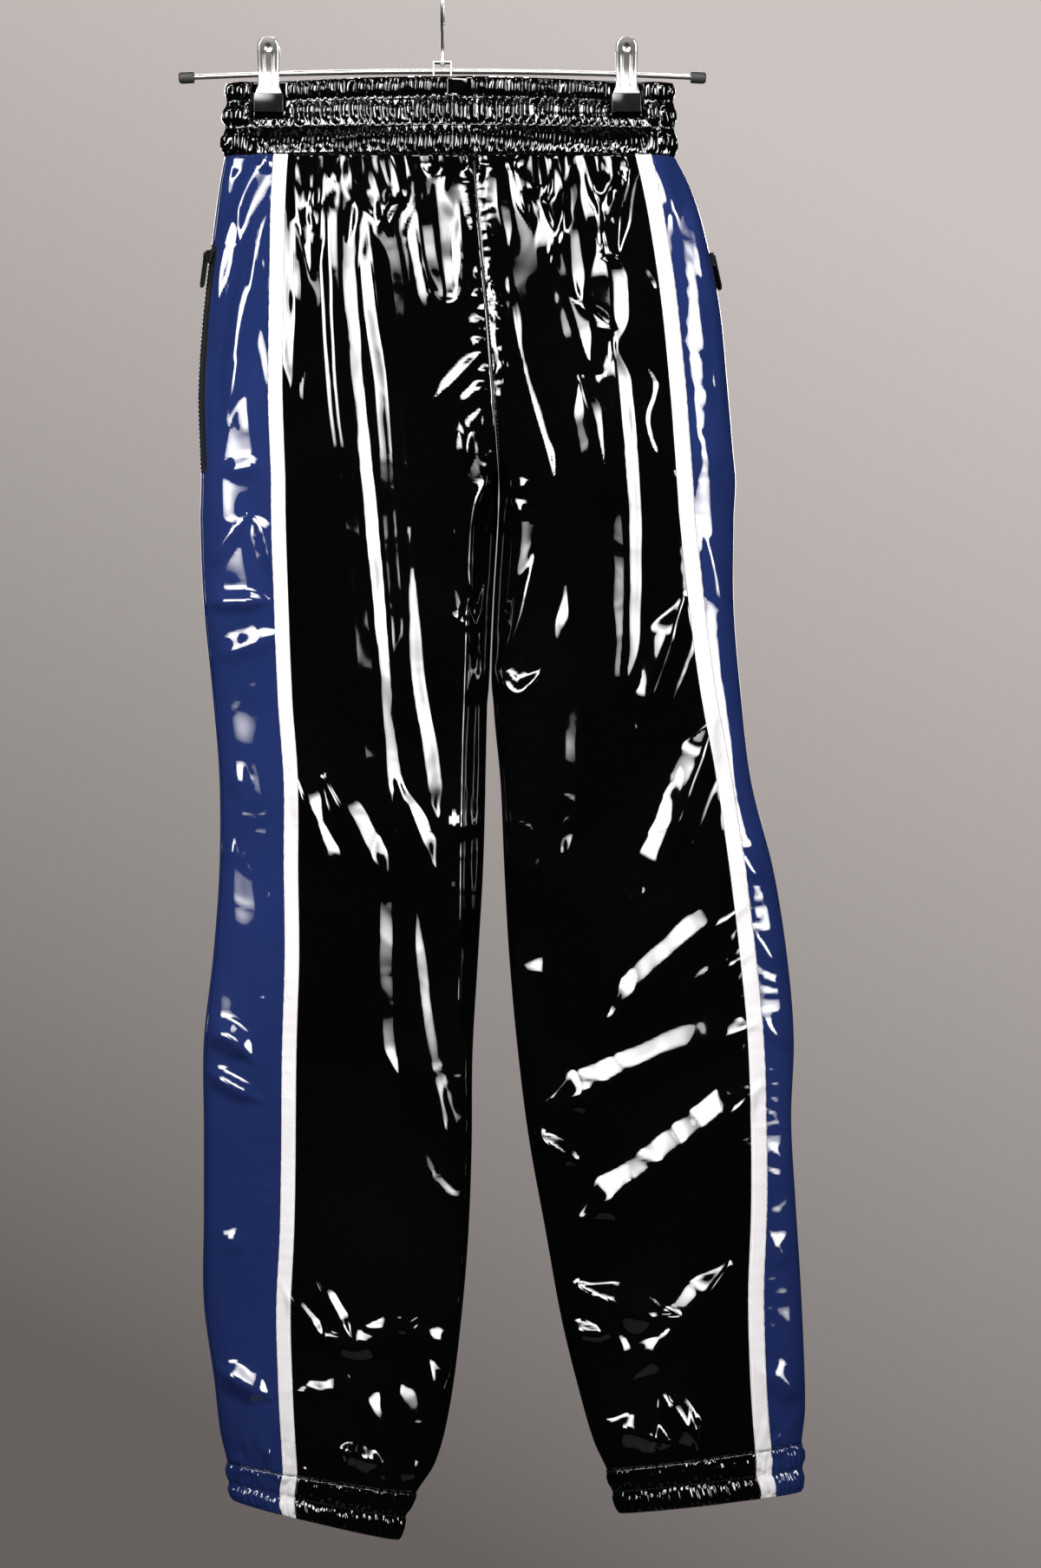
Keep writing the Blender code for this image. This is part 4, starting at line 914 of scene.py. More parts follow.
tape = {
    "columns": 9, "rows": 2.4, "rise": 1.05, "seat": 0.3, "edgeDrop": 0.35, "edgeWidth": 0.9,
    "stitchInset": 1.5, "groove": 0.3, "grooveWidth": 0.6,
    "pucker": 0.22, "puckerLength": 7, "puckerTurn": 20, "puckerSeed": 71,
}


def addTape(side):
    level = legLevels(side, tape["rows"])
    outerEdge, _, innerEdge = seamAngles(side, level)
    share = np.linspace(0, 1, tape["columns"])
    angles = outerEdge[:, None] + (innerEdge - outerEdge)[:, None] * share
    fromEdge = np.minimum(share, 1 - share) * leg["tapeWidth"][side]
    rounded = tape["edgeDrop"] * (1 - smoothStep(fromEdge / tape["edgeWidth"]))
    stitched = tape["groove"] * np.exp(-((fromEdge - tape["stitchInset"]) / tape["grooveWidth"]) ** 2)
    pucker = ripple(angles * tape["puckerTurn"], level[:, None], tape["puckerLength"], tape["puckerSeed"],
                    count=5)
    rise = tape["rise"] - rounded - stitched + tape["pucker"] * pucker
    outer = skin(side, level[:, None], angles, -rise)
    inner = skin(side, level[:, None], angles, -tape["seat"])
    plain = skin(side, level[:, None], angles, raised=False)
    addCloth(f"tape_strip_{side}", f"tape_{side}", "white_tape", outer, inner)
    for column in (1, tape["columns"] - 2):
        sewAlong("white", outer, column=column, lift=0.05)


for side in sides:
    addTape(side)
print("tapes made")

band = {
    "left": -157.6, "right": 168.6, "top": -86.6, "bottom": -140.8, "rise": 3.0, "flare": 1.6,
    "gap": 0.3, "inset": 0.2, "wall": 1.5, "belly": 13.0, "ear": 4.5, "earPower": 0.7,
    "pinch": -110.0, "clipHold": 12.2, "clipSoft": 7, "clipBase": 2.2,
    "channels": (-86.6, -100.5, -119.7, -140.8), "columns": 1600, "rows": 38, "fullness": 1.45,
    "base": 1.1, "puff": 1.3, "puffPower": 0.6, "ridge": 3.1, "pitch": 6.2,
    # fine ripples beside the seams between the channels
    "small": 0.12, "smallLength": 3.2, "smallReach": 0.12,
    # the plain tab's middle and half width, the eyelet's middle and half sizes, and the centre seam
    "smoothTab": (12.8, 9.0), "tabTilt": 0.3, "eyelet": (22.4, -109.4, 3.4, 8.0),
    "seamX": 24.6, "seamDepth": 0.9, "seamWidth": 1.1,
}
clipPlaces = {"left": -128.0, "right": 135.7}


def clipPress(x):
    reach = band["clipHold"] + band["clipSoft"]
    presses = [smoothStep((reach - np.abs(x - place)) / band["clipSoft"]) for place in clipPlaces.values()]
    return np.maximum(*presses)


def bandDepth(x, z, face):
    # half the waistband's hollow: pinched flat at the clips, as deep as the panels at its lower edge
    first, second = clipPlaces["left"], clipPlaces["right"]
    hold = band["clipHold"]
    middleShare = np.clip((x - first - hold) / (second - first - 2 * hold), 0, 1)
    leftShare = np.clip((x - band["left"]) / (first - hold - band["left"]), 0, 1)
    rightShare = np.clip((band["right"] - x) / (band["right"] - second - hold), 0, 1)
    ears = [np.maximum(0, np.sin(pi * share)) ** band["earPower"] for share in (leftShare, rightShare)]
    pinched = band["gap"] + band["belly"] * np.sin(pi * middleShare)
    pinched = pinched + band["ear"] * (ears[0] + ears[1])
    opened = np.zeros(x.shape)
    centre = legTables["left"][0][2]
    for side, chosen in (("left", x < centre), ("right", x >= centre)):
        row = legRow(side, np.array(leg["waistSeam"]))
        inward = np.maximum(0.0, (x - row["outerX"]) * (1 if side == "left" else -1) - band["wall"])
        bulge = (1 - (1 - np.minimum(1.0, inward / row["outerRound"])) ** 2) ** (leg["roundness"] / 2)
        opened = np.where(chosen, np.maximum(band["gap"], (row[face] - band["wall"]) * bulge), opened)
    share = max(0.0, (band["pinch"] - z) / (band["pinch"] - band["bottom"]))
    return pinched + (opened - pinched) * min(1.0, share)


def bandLoop(z):
    # the waistband's inner line at a height, from its left end round the front, and its length
    share = (band["top"] - z) / (band["top"] - band["bottom"])
    left = band["left"] - band["flare"] * share + band["inset"]
    right = band["right"] + band["flare"] * share - band["inset"]
    x = left + (right - left) * (1 - np.cos(np.linspace(0, pi, 400))) / 2
    front = np.stack((x, -bandDepth(x, z, "front")), axis=-1)
    back = np.stack((x, bandDepth(x, z, "back")), axis=-1)[::-1]
    loop = np.concatenate((front, back, front[:1]))
    walked = np.concatenate(([0.0], np.cumsum(np.linalg.norm(np.diff(loop, axis=0), axis=-1))))
    target = np.linspace(0, walked[-1], band["columns"], endpoint=False)
    return np.stack([np.interp(target, walked, loop[:, k]) for k in (0, 1)], axis=-1), walked[-1]


# puckers of a gathered channel: steps in pitches, heights in ridges, and ends as shares of the channel
shirr = {
    "step": (0.72, 1.28), "lean": (-1.5, 1.5), "bend": (-0.5, 0.5), "height": (0.55, 1.1),
    "upper": (-0.05, 0.2), "lower": (0.8, 1.05), "fade": 0.22, "width": 0.56, "crown": 1.55,
}


def shirring(position, share, length, pitch, height, seed):
    # round curling puckers side by side across one elastic channel, share running down it
    dice = np.random.default_rng(seed)
    total = np.zeros(np.broadcast(position, share).shape)
    place = 0.0
    while place < length:
        step = pitch * dice.uniform(*shirr["step"])
        lean = dice.uniform(*shirr["lean"])
        bend = dice.uniform(*shirr["bend"])
        turn = dice.uniform(0, 2 * pi)
        tall = height * dice.uniform(*shirr["height"])
        upper, lower = dice.uniform(*shirr["upper"]), dice.uniform(*shirr["lower"])
        path = place + step / 2 + lean * (share - 0.5) + bend * np.sin(5 * share + turn)
        distance = (position - path + length / 2) % length - length / 2
        ends = smoothStep((share - upper) / shirr["fade"]) * smoothStep((lower - share) / shirr["fade"])
        width = step * shirr["width"] * (0.35 + 0.65 * ends)
        crown = np.maximum(0.0, 1 - np.abs(distance / width) ** shirr["crown"])
        total = np.maximum(total, tall * (0.25 + 0.75 * ends) * crown)
        place += step
    return total


def placeBandRow(loop, z, lift):
    # a row of the waistband, moved out by the lift; its top edge rises in the middle
    along = np.roll(loop, -1, axis=0) - np.roll(loop, 1, axis=0)
    along /= np.linalg.norm(along, axis=-1)[:, None]
    x = loop[:, 0] + along[:, 1] * lift
    y = loop[:, 1] - along[:, 0] * lift
    share = (z - band["bottom"]) / (band["top"] - band["bottom"])
    middle = (band["left"] + band["right"]) / 2
    rise = band["rise"] * np.maximum(0.0, 1 - ((x - middle) / (band["right"] - middle)) ** 2)
    return np.stack((x, y, z + rise * share), axis=-1)


def bandFront(loop):
    return smoothStep(-loop[:, 1] / 4)


def bandSmooth(loop, z, channel):
    # the plain tab in the upper channel and the round eyelet patch under it, both in front
    tabX, tabHalf = band["smoothTab"]
    eyeX, eyeZ, eyeHalfWidth, eyeHalfHeight = band["eyelet"]
    tab = smoothStep((tabHalf + 2 - np.abs(loop[:, 0] - tabX)) / 2.5) * (channel == 0)
    eye = smoothStep(1.6 - np.hypot((loop[:, 0] - eyeX) / eyeHalfWidth, (z - eyeZ) / eyeHalfHeight))
    return bandFront(loop) * np.maximum(tab, eye)


def bandRow(z, share, channel):
    # one row of the waistband's outer face, share of the way down a channel
    loop, length = bandLoop(z)
    position = np.arange(band["columns"]) / band["columns"] * length
    puff = band["puff"] * np.sin(pi * share) ** band["puffPower"]
    if channel == 0:
        puff = band["puff"] * (1 - share ** 3) * smoothStep(share / 0.15 + 0.35)
    ridges = shirring(position, share, length, band["pitch"], band["ridge"], 90 + channel)
    small = band["small"] * np.exp(-(min(share, 1 - share) / band["smallReach"]) ** 2)
    heights = np.full(band["columns"], z)
    ridges = ridges + small * ripple(position, heights, band["smallLength"], 95 + channel, count=4)
    plain = bandSmooth(loop, z, channel)
    tilt = band["tabTilt"] * np.clip(loop[:, 0] - band["smoothTab"][0], -5, 5)
    ridges = ridges * (1 - plain) + plain * tilt
    fromSeam = (loop[:, 0] - band["seamX"]) / band["seamWidth"]
    ridges = ridges - bandFront(loop) * band["seamDepth"] * np.exp(-fromSeam ** 2)
    press = clipPress(loop[:, 0]) * smoothStep((z - band["pinch"] + 6) / 5)
    lift = band["base"] + puff + ridges * (0.7 + 0.3 * np.sin(pi * share))
    return placeBandRow(loop, z, lift + (band["clipBase"] - lift) * press)


def addWaistband():
    outer = []
    channelRows = []
    edges = list(zip(band["channels"], band["channels"][1:]))
    for channel, (upper, lower) in enumerate(edges):
        count = round(band["rows"] * (upper - lower) / (band["top"] - band["bottom"]))
        if channel:
            channelRows.append(len(outer))
        for k in range(count + (channel == len(edges) - 1)):
            outer.append(bandRow(upper + (lower - upper) * k / count, k / count, channel))
    outer = np.array(outer)
    heights = np.linspace(band["top"], band["bottom"], 9)
    inner = np.array([placeBandRow(bandLoop(z)[0], z, 0.0) for z in heights])
    closed, plain = (np.concatenate((grid, grid[:, :1]), axis=1) for grid in (outer, inner))
    for row in channelRows:
        sewAlong("black", closed, row=row, lift=0.12)
    addCloth("cloth_waistband", "waistband", "pvc_black", outer, inner,
             ring=True)


addWaistband()
print("waistband made")

cuff = {
    "rows": 34, "spacing": 0.75, "base": 0.2, "puff": 0.9, "puffPower": 0.6, "ridge": 1.9, "pitch": 4.4,
    "small": 0.15, "smallLength": 2.6, "smallReach": 0.15, "wall": 1.2,
    "channelEdge": 0.52, "topStitch": 0.06, "fullness": {"black": 1.3, "white": 1.05, "blue": 1.3},
}


def cuffSpan(side, level, colour):
    outerEdge, seam, innerEdge = seamAngles(side, level)
    gap = angleStep(side, level, seam, leg["seamGap"] / 2)
    if colour == "black":
        return innerEdge + gap, 2 * pi - seam - gap
    if colour == "white":
        return outerEdge + gap, innerEdge - gap
    return gap - seam, outerEdge - gap


def addCuff(side, colour, seed):
    topLevel = legTables[side][cuffRow][1] - leg["seamGap"]
    share = np.linspace(0, 1, cuff["rows"])
    level = topLevel + (legTables[side][-1][1] - topLevel) * share
    start, end = cuffSpan(side, level, colour)
    coarse = skin(side, level[:, None], start[:, None] + (end - start)[:, None] * np.linspace(0, 1, 60))
    length = np.linalg.norm(np.diff(coarse, axis=1), axis=-1).sum(axis=1).mean()
    columns = max(9, int(length / cuff["spacing"]))
    angles = evenAngles(side, level, start, end, columns)
    position = np.linspace(0, length, columns)[None, :]
    edge = cuff["channelEdge"]
    out = np.full(angles.shape, cuff["base"])
    for channel, (upper, lower) in enumerate(((0.0, edge), (edge, 1.02))):
        rows = (share >= upper) & (share < lower)
        inside = ((share[rows] - upper) / (lower - upper))[:, None]
        ridges = shirring(position, inside, length + 1, cuff["pitch"], cuff["ridge"], seed + channel)
        small = cuff["small"] * np.exp(-(np.minimum(inside, 1 - inside) / cuff["smallReach"]) ** 2)
        heights = level[rows][:, None]
        ridges = ridges + small * ripple(position, heights, cuff["smallLength"], seed + 7 + channel, count=4)
        puff = cuff["puff"] * np.sin(pi * inside) ** cuff["puffPower"]
        out[rows] += puff + ridges * (0.65 + 0.35 * np.sin(pi * inside))
    outer = skin(side, level[:, None], angles, -out)
    inner = skin(side, level[:, None], angles, cuff["wall"])
    plain = skin(side, level[:, None], angles, raised=False)
    thread, slotName = ("white", "white_tape") if colour == "white" else ("black", f"pvc_{colour}")
    for place in (cuff["topStitch"], edge):
        sewAlong(thread, outer, row=int(place * (cuff["rows"] - 1)), lift=0.12)
    addCloth(f"cloth_cuff_{colour}_{side}", f"cuff_{colour}_{side}", slotName, outer, inner)


for sideIndex, side in enumerate(sides):
    for colourIndex, colour in enumerate(cuff["fullness"]):
        addCuff(side, colour, 200 + 40 * sideIndex + 10 * colourIndex)
print("cuffs made")


def closedTube(name, points, turns, material):
    # rings of points joined into a tube with closed ends
    faces = quadGrid(len(points) // turns, turns, 0, True)[0].tolist()
    faces += [list(range(turns)), list(range(len(points) - turns, len(points)))]
    return meshObject(name, points, faces, material)


def rod(name, path, radius, turns, material):
    # a round rod along a path, with frames carried smoothly from point to point
    path = [Vector(point) for point in path]
    points = []
    side = None
    for k, point in enumerate(path):
        along = (path[min(k + 1, len(path) - 1)] - path[max(k - 1, 0)]).normalized()
        if side is None:
            side = along.orthogonal().normalized()
        side = (side - along * side.dot(along)).normalized()
        other = along.cross(side)
        for turn in range(turns):
            angle = 2 * pi * turn / turns
            points.append(tuple(point + radius * (side * cos(angle) + other * sin(angle))))
    return closedTube(name, points, turns, material)


def turned(name, profile, turns, material, place):
    # a profile of x and radius, turned about the x axis and then placed
    grid = [(x, radius * cos(2 * pi * t / turns), radius * sin(2 * pi * t / turns))
            for x, radius in profile for t in range(turns)]
    return closedTube(name, [tuple(place @ Vector(point)) for point in grid], turns, material)


hanger = {
    "barRadius": 1.9, "barHalf": 191.0, "barMiddle": -77.8, "barDroop": 4.8, "fit": 0.3,
    "capLength": 11.5, "capRadius": 4.4, "capEnd": 3.5, "capBevel": 1.4, "capDome": 2.7, "axis": 0.1,
    "wire": 1.4, "bend": 26.0, "tip": radians(-28), "bendStart": radians(228),
    "stem": ((0.0, -73.6), (0.0, -66.0), (-1.8, -59.0), (-9.0, -52.6)),
    "rivetZ": -73.4, "rivetRadius": 2.5, "rivetFoot": -1.2, "rivetRise": 1.3,
}


def barZ(x):
    return hanger["barMiddle"] - hanger["barDroop"] * (x / (hanger["barHalf"] + hanger["capLength"] / 2)) ** 2


def addBar():
    places = np.linspace(-hanger["barHalf"], hanger["barHalf"], 49)
    bar = rod("bar_rod", [(x, 0, barZ(x)) for x in places], hanger["barRadius"], 24, materials["chrome"])
    finishPiece(bar, "hanger_bar")
    bore = hanger["barRadius"] + hanger["fit"]
    radius, end, axis, dome = (hanger[name] for name in ("capRadius", "capEnd", "axis", "capDome"))
    back = end - hanger["capLength"]
    profile = [(hanger["fit"], axis), (hanger["fit"], bore), (back, bore), (back, radius * 0.8)]
    for turn in [pi / 2 * k / 4 for k in range(5)]:
        profile.append((back + hanger["capBevel"] * (1 - cos(turn)), radius * (0.82 + 0.18 * sin(turn))))
    for turn in [pi / 2 * k / 8 for k in range(9)]:
        profile.append((end - dome + dome * sin(turn), radius * (0.5 + 0.5 * cos(turn))))
    profile += [(end, radius * 0.3), (end, axis)]
    for side, sign in (("left", -1), ("right", 1)):
        x = sign * hanger["barHalf"]
        slope = (barZ(x) - barZ(x - sign * 5)) / 5
        turn = Matrix.Rotation(pi if sign < 0 else 0, 4, "Z") @ Matrix.Rotation(-slope, 4, "Y")
        place = Matrix.Translation((x, 0, barZ(x))) @ turn
        cap = turned(f"cap_{side}", profile, 32, materials["rubber_black"], place)
        finishPiece(cap, f"bar_cap_{side}")


def addHook():
    bend = hanger["bend"] + hanger["wire"]
    points = [np.array(point) for point in hanger["stem"]]
    for k in range(29):
        turn = hanger["bendStart"] + (hanger["tip"] - hanger["bendStart"]) * k / 28
        points.append(np.array((bend * cos(turn), -hanger["bend"] + bend * sin(turn))))
    path = smoothLine(points, 3)
    hook = rod("hook_wire", [(0, y, z) for y, z in path], hanger["wire"], 20, materials["chrome"])
    finishPiece(hook, "hook")
    foot, rise, radius = (hanger[name] for name in ("rivetFoot", "rivetRise", "rivetRadius"))
    dome = [(foot, hanger["axis"])]
    for turn in [pi / 2 * k / 6 for k in range(7)]:
        dome.append((foot + rise * sin(turn), radius * cos(turn) + 0.02))
    place = Matrix.Translation((0, 0, hanger["rivetZ"])) @ Matrix.Rotation(pi / 2, 4, "Y")
    rivet = turned("hook_rivet", dome, 24, materials["chrome"], place)
    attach(rivet, "root")


clip = {
    "sheet": 1.2, "columns": 33, "rowsPerSpan": 5,
    "groovePlaces": (-0.42, 0.42), "grooveWidth": 0.09, "grooveDepth": 0.45, "grooveRange": (-91, -63, 5),
    "dimple": (-61.4, 2.3, 1.1), "curl": 0.9, "curlFrom": 0.82, "curlWidth": 0.18, "curlAbove": -93,
    "springTurns": 9, "springWire": 0.5, "springRadius": 2.6, "springHalf": 5.06, "springSteps": 16,
    # a lever's middle line y, z and its half width there
    "rows": ((-9.7, -53.7, 1.6), (-9.6, -54.4, 4.2), (-9.4, -56.0, 6.3), (-8.9, -59.0, 7.8),
             (-7.6, -64.0, 8.2), (-6.8, -67.0, 8.0), (-4.6, -76.0, 7.7), (-4.2, -81.0, 7.7),
             (-4.6, -88.0, 8.0), (-4.9, -94.0, 9.6), (-4.9, -107.0, 10.0)),
}
sleeve = {"sheet": 0.9, "halfWidth": 10.7, "top": -94.6, "bottom": -108.3, "fit": 0.3, "rounding": 0.4}


def leverSkin(side, sign, offset):
    # one face of a lever: pressed with two grooves and a dimple near its top
    line = smoothLine([row[:2] for row in clip["rows"]], clip["rowsPerSpan"])
    heights = np.array([row[1] for row in clip["rows"]])
    halfWidths = np.array([row[2] for row in clip["rows"]])
    along = np.gradient(line, axis=0)
    along /= np.linalg.norm(along, axis=-1)[:, None]
    share = np.linspace(-1, 1, clip["columns"])
    half = np.interp(-line[:, 1], -heights, halfWidths)[:, None]
    x = share[None, :] * half
    groove = sum(np.exp(-((share - place) / clip["grooveWidth"]) ** 2) for place in clip["groovePlaces"])
    pressed = between(line[:, 1], *clip["grooveRange"])[:, None] * groove[None, :] * clip["grooveDepth"]
    dimpleZ, dimpleRadius, dimpleDepth = clip["dimple"]
    fromDimple = x ** 2 + (line[:, 1:] - dimpleZ) ** 2
    pressed = pressed + dimpleDepth * np.exp(-(fromDimple / dimpleRadius ** 2) ** 2)
    curled = clip["curl"] * np.maximum(0, np.abs(share) - clip["curlFrom"])[None, :] / clip["curlWidth"]
    lift = offset - pressed - curled * smoothStep((line[:, 1:] - clip["curlAbove"]) / 4)
    y = line[:, :1] + along[:, 1:] * lift
    z = line[:, 1:] - along[:, :1] * lift
    return np.stack(np.broadcast_arrays(x + clipPlaces[side], sign * y, z), axis=-1)


def addSleeve(side, face, sign):
    # the vinyl sleeve pushed over a lever's jaw, open at the top
    jaw, jawZ = clip["rows"][-1][:2]
    near = clip["sheet"] / 2 + sleeve["fit"]
    far = near + sleeve["sheet"]
    top, bottom, floor = sleeve["top"], sleeve["bottom"], jawZ - sleeve["fit"]
    outline = [(jaw - far, top), (jaw - far, bottom), (jaw + far, bottom), (jaw + far, top),
               (jaw + near, top), (jaw + near, floor), (jaw - near, floor), (jaw - near, top)]
    count = len(outline)
    points = [(clipPlaces[side] + end * sleeve["halfWidth"], sign * y, z)
              for end in (-1, 1) for y, z in outline]
    faces = [[k, (k + 1) % count, (k + 1) % count + count, k + count] for k in range(count)]
    faces += [list(range(count)), list(range(count, 2 * count))]
    jacket = meshObject(f"jacket_{face}_{side}", points, faces, materials["vinyl_sleeve"])
    rounding = jacket.modifiers.new("rounding", "BEVEL")
    rounding.width = sleeve["rounding"] * mm
    rounding.segments = 3
    finishPiece(jacket, f"sleeve_{face}_{side}")


def addClip(side):
    for face, sign in (("front", 1), ("back", -1)):
        outer, inner = (leverSkin(side, sign, offset) for offset in (clip["sheet"] / 2, -clip["sheet"] / 2))
        lever = clothShell(f"lever_{face}_{side}", outer, inner, materials["chrome"])
        finishPiece(lever, f"clip_{face}_{side}")
        addSleeve(side, face, sign)
    steps = clip["springTurns"] * clip["springSteps"]
    radius = clip["springRadius"]
    helix = []
    for k in range(steps + 1):
        turn = 2 * pi * k / clip["springSteps"]
        x = clipPlaces[side] + clip["springHalf"] * (2 * k / steps - 1)
        helix.append((x, radius * cos(turn), barZ(x) + radius * sin(turn)))
    spring = rod(f"spring_{side}", helix, clip["springWire"], 8, materials["chrome"])
    finishPiece(spring, f"clip_spring_{side}")


addBar()
addHook()
for side in sides:
    addClip(side)
print("hanger made")

zipper = {
    "coilTop": -1.05, "pitch": 1.5, "tooth": (0.55, 1.75, 0.5), "rows": 90, "inset": 1, "turnStep": 0.02,
}


def zipLine(side):
    level = np.linspace(leg["zipTop"] - zipper["inset"], leg["zipBottom"] + zipper["inset"], zipper["rows"])
    turn = np.full(level.shape, leg["sideSeamTurn"][side])
    turns = turn[:, None] + np.array((-1, 0, 1)) * zipper["turnStep"]
    grid = skin(side, level[:, None], turns, zipper["coilTop"])
    down = np.gradient(grid[:, 1], axis=0)
    normal = np.cross(down, grid[:, 2] - grid[:, 0])
    normal /= np.linalg.norm(normal, axis=-1)[:, None]
    outside = -1.0 if side == "left" else 1.0
    seams["coil"].append((grid[:, 1], normal * np.sign(normal[:, :1] * outside)))


for side in sides:
    zipLine(side)


def repeatGroup():
    # sets small rounded pieces along lines: pitch, size of one along, across and out, and its material
    group = bpy.data.node_groups.new("piecesAlongLines", "GeometryNodeTree")
    sockets = {"Lines": "Geometry", "Pitch": "Float", "Size": "Vector", "Finish": "Material"}
    for name, kind in sockets.items():
        group.interface.new_socket(name, in_out="INPUT", socket_type="NodeSocket" + kind)
    group.interface.new_socket("Pieces", in_out="OUTPUT", socket_type="NodeSocketGeometry")
    given = group.nodes.new("NodeGroupInput").outputs
    lines, pitch, size, finish = (Wire(group, given[k]) for k in range(4))
    curve = addNode(group, "GeometryNodeMeshToCurve", {}, {"Mesh": lines})
    even = addNode(group, "GeometryNodeResampleCurve", {"mode": "LENGTH"}, {"Curve": curve, "Length": pitch})
    ball = addNode(group, "GeometryNodeMeshUVSphere", {}, {"Segments": 5, "Rings": 4, "Radius": 0.5})
    smooth = addNode(group, "GeometryNodeSetShadeSmooth", {}, {"Geometry": ball})
    tangent = addNode(group, "GeometryNodeInputTangent", {}, {})
    away = addNode(group, "GeometryNodeInputNamedAttribute", {"data_type": "FLOAT_VECTOR"}, {"Name": "away"})
    lying = addNode(group, "FunctionNodeAlignRotationToVector", {"axis": "X"}, {"Vector": tangent})
    turn = addNode(group, "FunctionNodeAlignRotationToVector", {"axis": "Z", "pivot_axis": "X"},
                   {"Rotation": lying, "Vector": away})
    placed = addNode(group, "GeometryNodeInstanceOnPoints", {},
                     {"Points": even, "Instance": smooth, "Rotation": turn, "Scale": size})
    real = addNode(group, "GeometryNodeRealizeInstances", {}, {"Geometry": placed})
    coloured = addNode(group, "GeometryNodeSetMaterial", {}, {"Geometry": real, "Material": finish})
    group.links.new(coloured.socket, group.nodes.new("NodeGroupOutput").inputs[0])
    return group


def addRepeats(name, seam, pitch, size, finish):
    mesh = bpy.data.meshes.new(name + "_lines")
    points, edges, normals = [], [], []
    for line, away in seams[seam]:
        start = len(points)
        points += (line * mm).tolist()
        normals += away.tolist()
        edges += [(start + k, start + k + 1) for k in range(len(line) - 1)]
    mesh.from_pydata(points, edges, [])
    mesh.attributes.new("away", "FLOAT_VECTOR", "POINT").data.foreach_set("vector", np.ravel(normals))
    guide = bpy.data.objects.new(name + "_guide", mesh)
    bpy.context.scene.collection.objects.link(guide)
    modifier = guide.modifiers.new("repeat", "NODES")
    modifier.node_group = repeats
    given = [item for item in repeats.interface.items_tree if item.in_out == "INPUT"]
    identifiers = {item.name: item.identifier for item in given}
    modifier[identifiers["Pitch"]] = pitch * mm
    modifier[identifiers["Size"]] = [value * mm for value in size]
    modifier[identifiers["Finish"]] = materials[finish]
    bpy.context.view_layer.update()
    evaluated = guide.evaluated_get(bpy.context.evaluated_depsgraph_get())
    pieces = bpy.data.objects.new(name, bpy.data.meshes.new_from_object(evaluated))
    bpy.context.scene.collection.objects.link(pieces)
    bpy.data.objects.remove(guide)
    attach(pieces, "root")
    print(f"{name}: {len(pieces.data.polygons)} faces")


repeats = repeatGroup()
addRepeats("tape_stitches", "white", 3.0, (2.4, 0.42, 0.3), "white_thread")
addRepeats("black_stitches", "black", 3.2, (2.6, 0.5, 0.42), "black_thread")
addRepeats("zip_coils", "coil", zipper["pitch"], zipper["tooth"], "zip_black")
print("sewing made")

dressNodes()

# the studio, in metres: a pale floor, soft boxes in front and above, and dimmer ones behind
studio = {"floorZ": -2.3, "floorRadius": 0.75, "aim": (0.03, 0.0, -0.3), "lightColour": (1.0, 0.985, 0.97)}
# place, size, power in watts and spread in degrees
softBoxes = {
    "softBoxLeft": ((-1.95, -2.1, 0.3), (1.05, 1.9), 13, 62),
    "softBoxRight": ((2.15, -2.0, 0.08), (1.05, 2.25), 15, 62),
    "softBoxTop": ((-0.85, -2.3, 0.9), (1.8, 1.05), 11, 62),
    "softBoxHigh": ((0.2, -1.6, 1.65), (1.4, 0.45), 6, 90),
    "backLightLeft": ((-0.85, 2.6, 0.2), (0.4, 1.7), 2.5, 70),
    "backLightRight": ((0.85, 2.6, 0.2), (0.4, 1.7), 2.5, 70),
    "backLightHigh": ((0.0, 1.9, 1.4), (1.6, 0.7), 12, 75),
}


def addFloor():
    turns = np.linspace(0, 2 * pi, 96, endpoint=False)
    radius = studio["floorRadius"] / mm
    points = [(radius * cos(turn), radius * sin(turn), studio["floorZ"] / mm) for turn in turns]
    material, tree, shader = newMaterial("paleFloor", {"Roughness": 0.9})
    stains = noise(tree, scale=1.3, detail=3.0)
    link(mixColours(tree, stains, (0.42, 0.4, 0.39), (0.38, 0.36, 0.35)), shader, "Base Color")
    meshObject("studio_floor", points, [list(range(len(points)))], material)


def fadeTowardsRim(light):
    # a soft box is brightest in its middle and falls off more towards its ends than its sides
    light.use_nodes = True
    tree = light.node_tree
    place = addNode(tree, "ShaderNodeNewGeometry", {}, {}, "Parametric")
    across, along = ((addNode(tree, "ShaderNodeSeparateXYZ", {}, {0: place}, k) - 0.5) * 2.0 for k in (0, 1))
    strength = (1.15 - 0.7 * across * across) * (1.35 - 1.25 * along * along)
    link(strength.clampedTo(0.0, 2.0), tree.nodes["Emission"], "Strength")


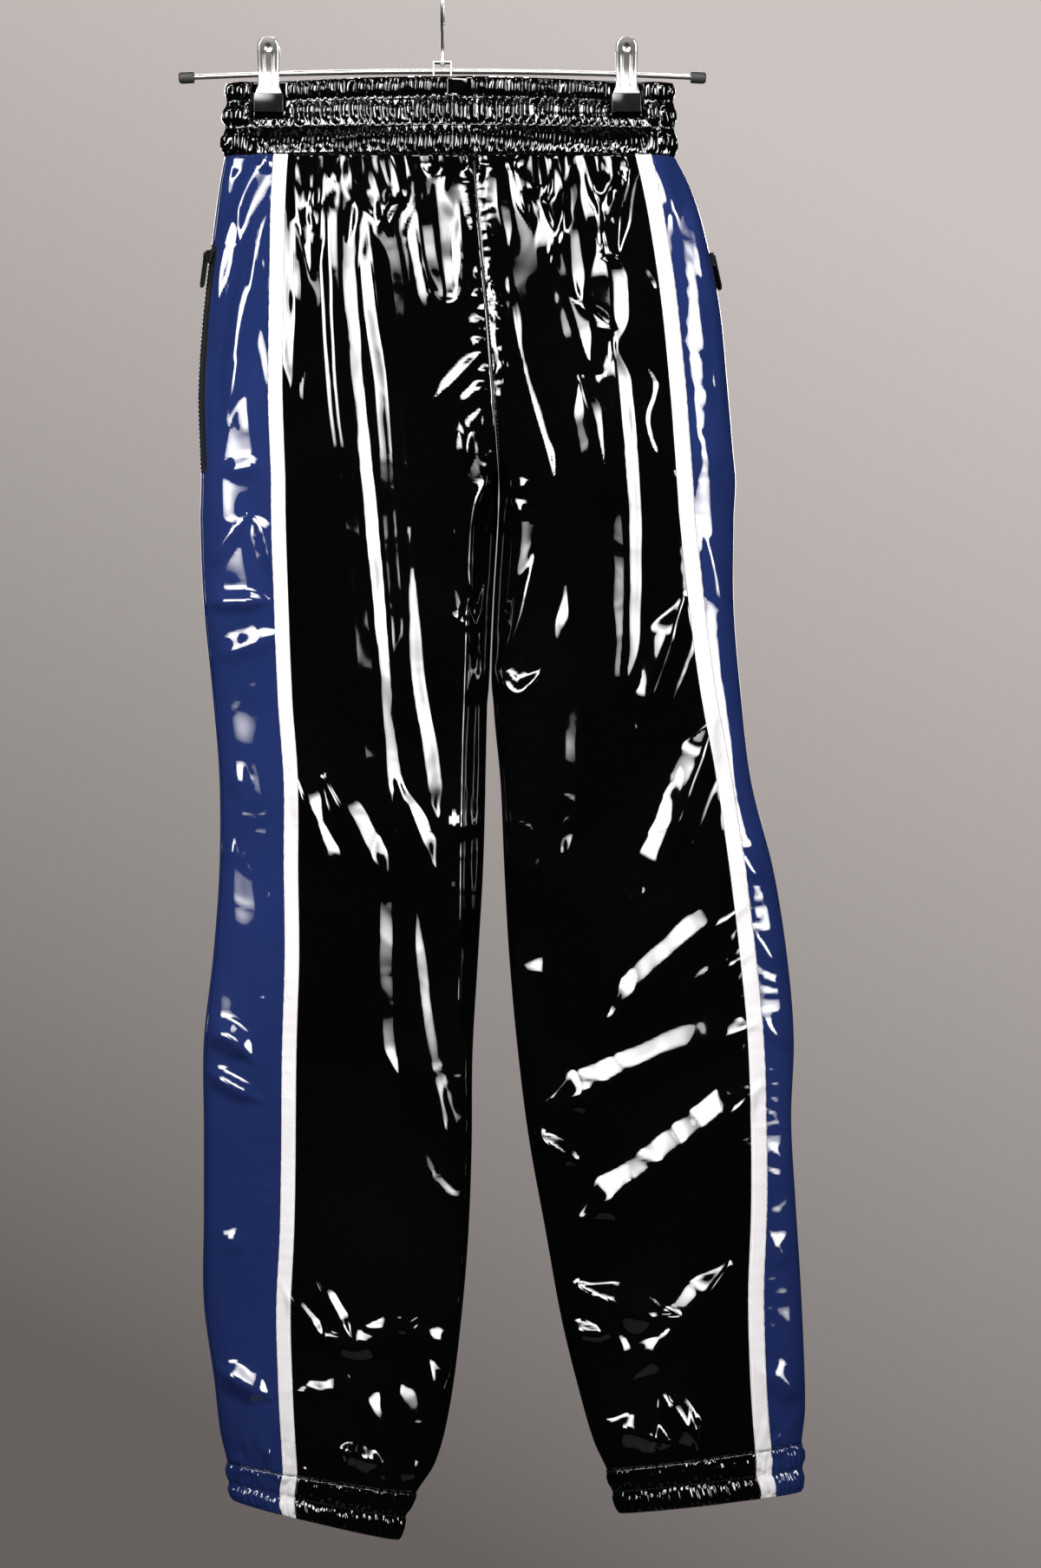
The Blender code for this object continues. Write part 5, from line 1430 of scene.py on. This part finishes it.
def addSoftBox(name, place, size, power, spread):
    light = bpy.data.lights.new(name, "AREA")
    light.shape = "RECTANGLE"
    light.size, light.size_y = size
    light.energy = power
    light.spread = radians(spread)
    light.color = studio["lightColour"]
    fadeTowardsRim(light)
    lamp = bpy.data.objects.new(name, light)
    lamp.location = place
    lamp.rotation_euler = (Vector(studio["aim"]) - Vector(place)).to_track_quat("-Z", "Y").to_euler()
    bpy.context.scene.collection.objects.link(lamp)


def addBackdropWithPaintedFalloff():
    # the camera sees a grey wall with painted light falloff, lighter at the top and to the right; the object
    # sees a dim room
    world = bpy.data.worlds.new("studioAir")
    world.use_nodes = True
    tree = world.node_tree
    tree.nodes.clear()
    direction = addNode(tree, "ShaderNodeTexCoord", {}, {}, "Generated")
    sideways, height = (addNode(tree, "ShaderNodeSeparateXYZ", {}, {0: direction}, k) for k in (0, 2))
    # painted light falloff on the wall: brighter towards the top and to the right, darker towards the bottom
    share = height * 2.6 + (sideways * 1.3).clampedTo(-0.24, 0.24) + 0.5
    wall = mixColours(tree, share.clamped(), (0.135, 0.12, 0.116), (0.6, 0.55, 0.53))
    wallWithPaintedFalloff = addNode(tree, "ShaderNodeBackground", {}, {0: wall, 1: 1.0})
    room = addNode(tree, "ShaderNodeBackground", {}, {0: (0.9, 0.92, 1.0, 1), 1: 0.007})
    ray = addNode(tree, "ShaderNodeLightPath", {}, {}, "Is Camera Ray")
    mixed = addNode(tree, "ShaderNodeMixShader", {}, {0: ray, 1: room, 2: wallWithPaintedFalloff})
    addNode(tree, "ShaderNodeOutputWorld", {}, {0: mixed}, None)
    bpy.context.scene.world = world


addFloor()
for name, values in softBoxes.items():
    addSoftBox(name, *values)
addBackdropWithPaintedFalloff()
bpy.context.scene.view_settings.view_transform = "Standard"

# the photo looks straight on from about three metres; its size and the part's zero are in pixels
photo = {
    "width": 1200, "height": 1807, "zeroColumn": 510, "zeroRow": -39, "pixel": 0.64 * mm, "distance": 3.0,
}
camera = bpy.data.cameras.new("photoCamera")
camera.sensor_fit = "VERTICAL"
camera.sensor_height = 36.0
camera.lens = camera.sensor_height * photo["distance"] / (photo["height"] * photo["pixel"])
viewer = bpy.data.objects.new("photoCamera", camera)
viewer.location = ((photo["width"] / 2 - photo["zeroColumn"]) * photo["pixel"], -photo["distance"],
                   -(photo["height"] / 2 - photo["zeroRow"]) * photo["pixel"])
viewer.rotation_euler = (radians(90), 0, 0)
bpy.context.scene.collection.objects.link(viewer)
bpy.context.scene.camera = viewer
print("studio made")
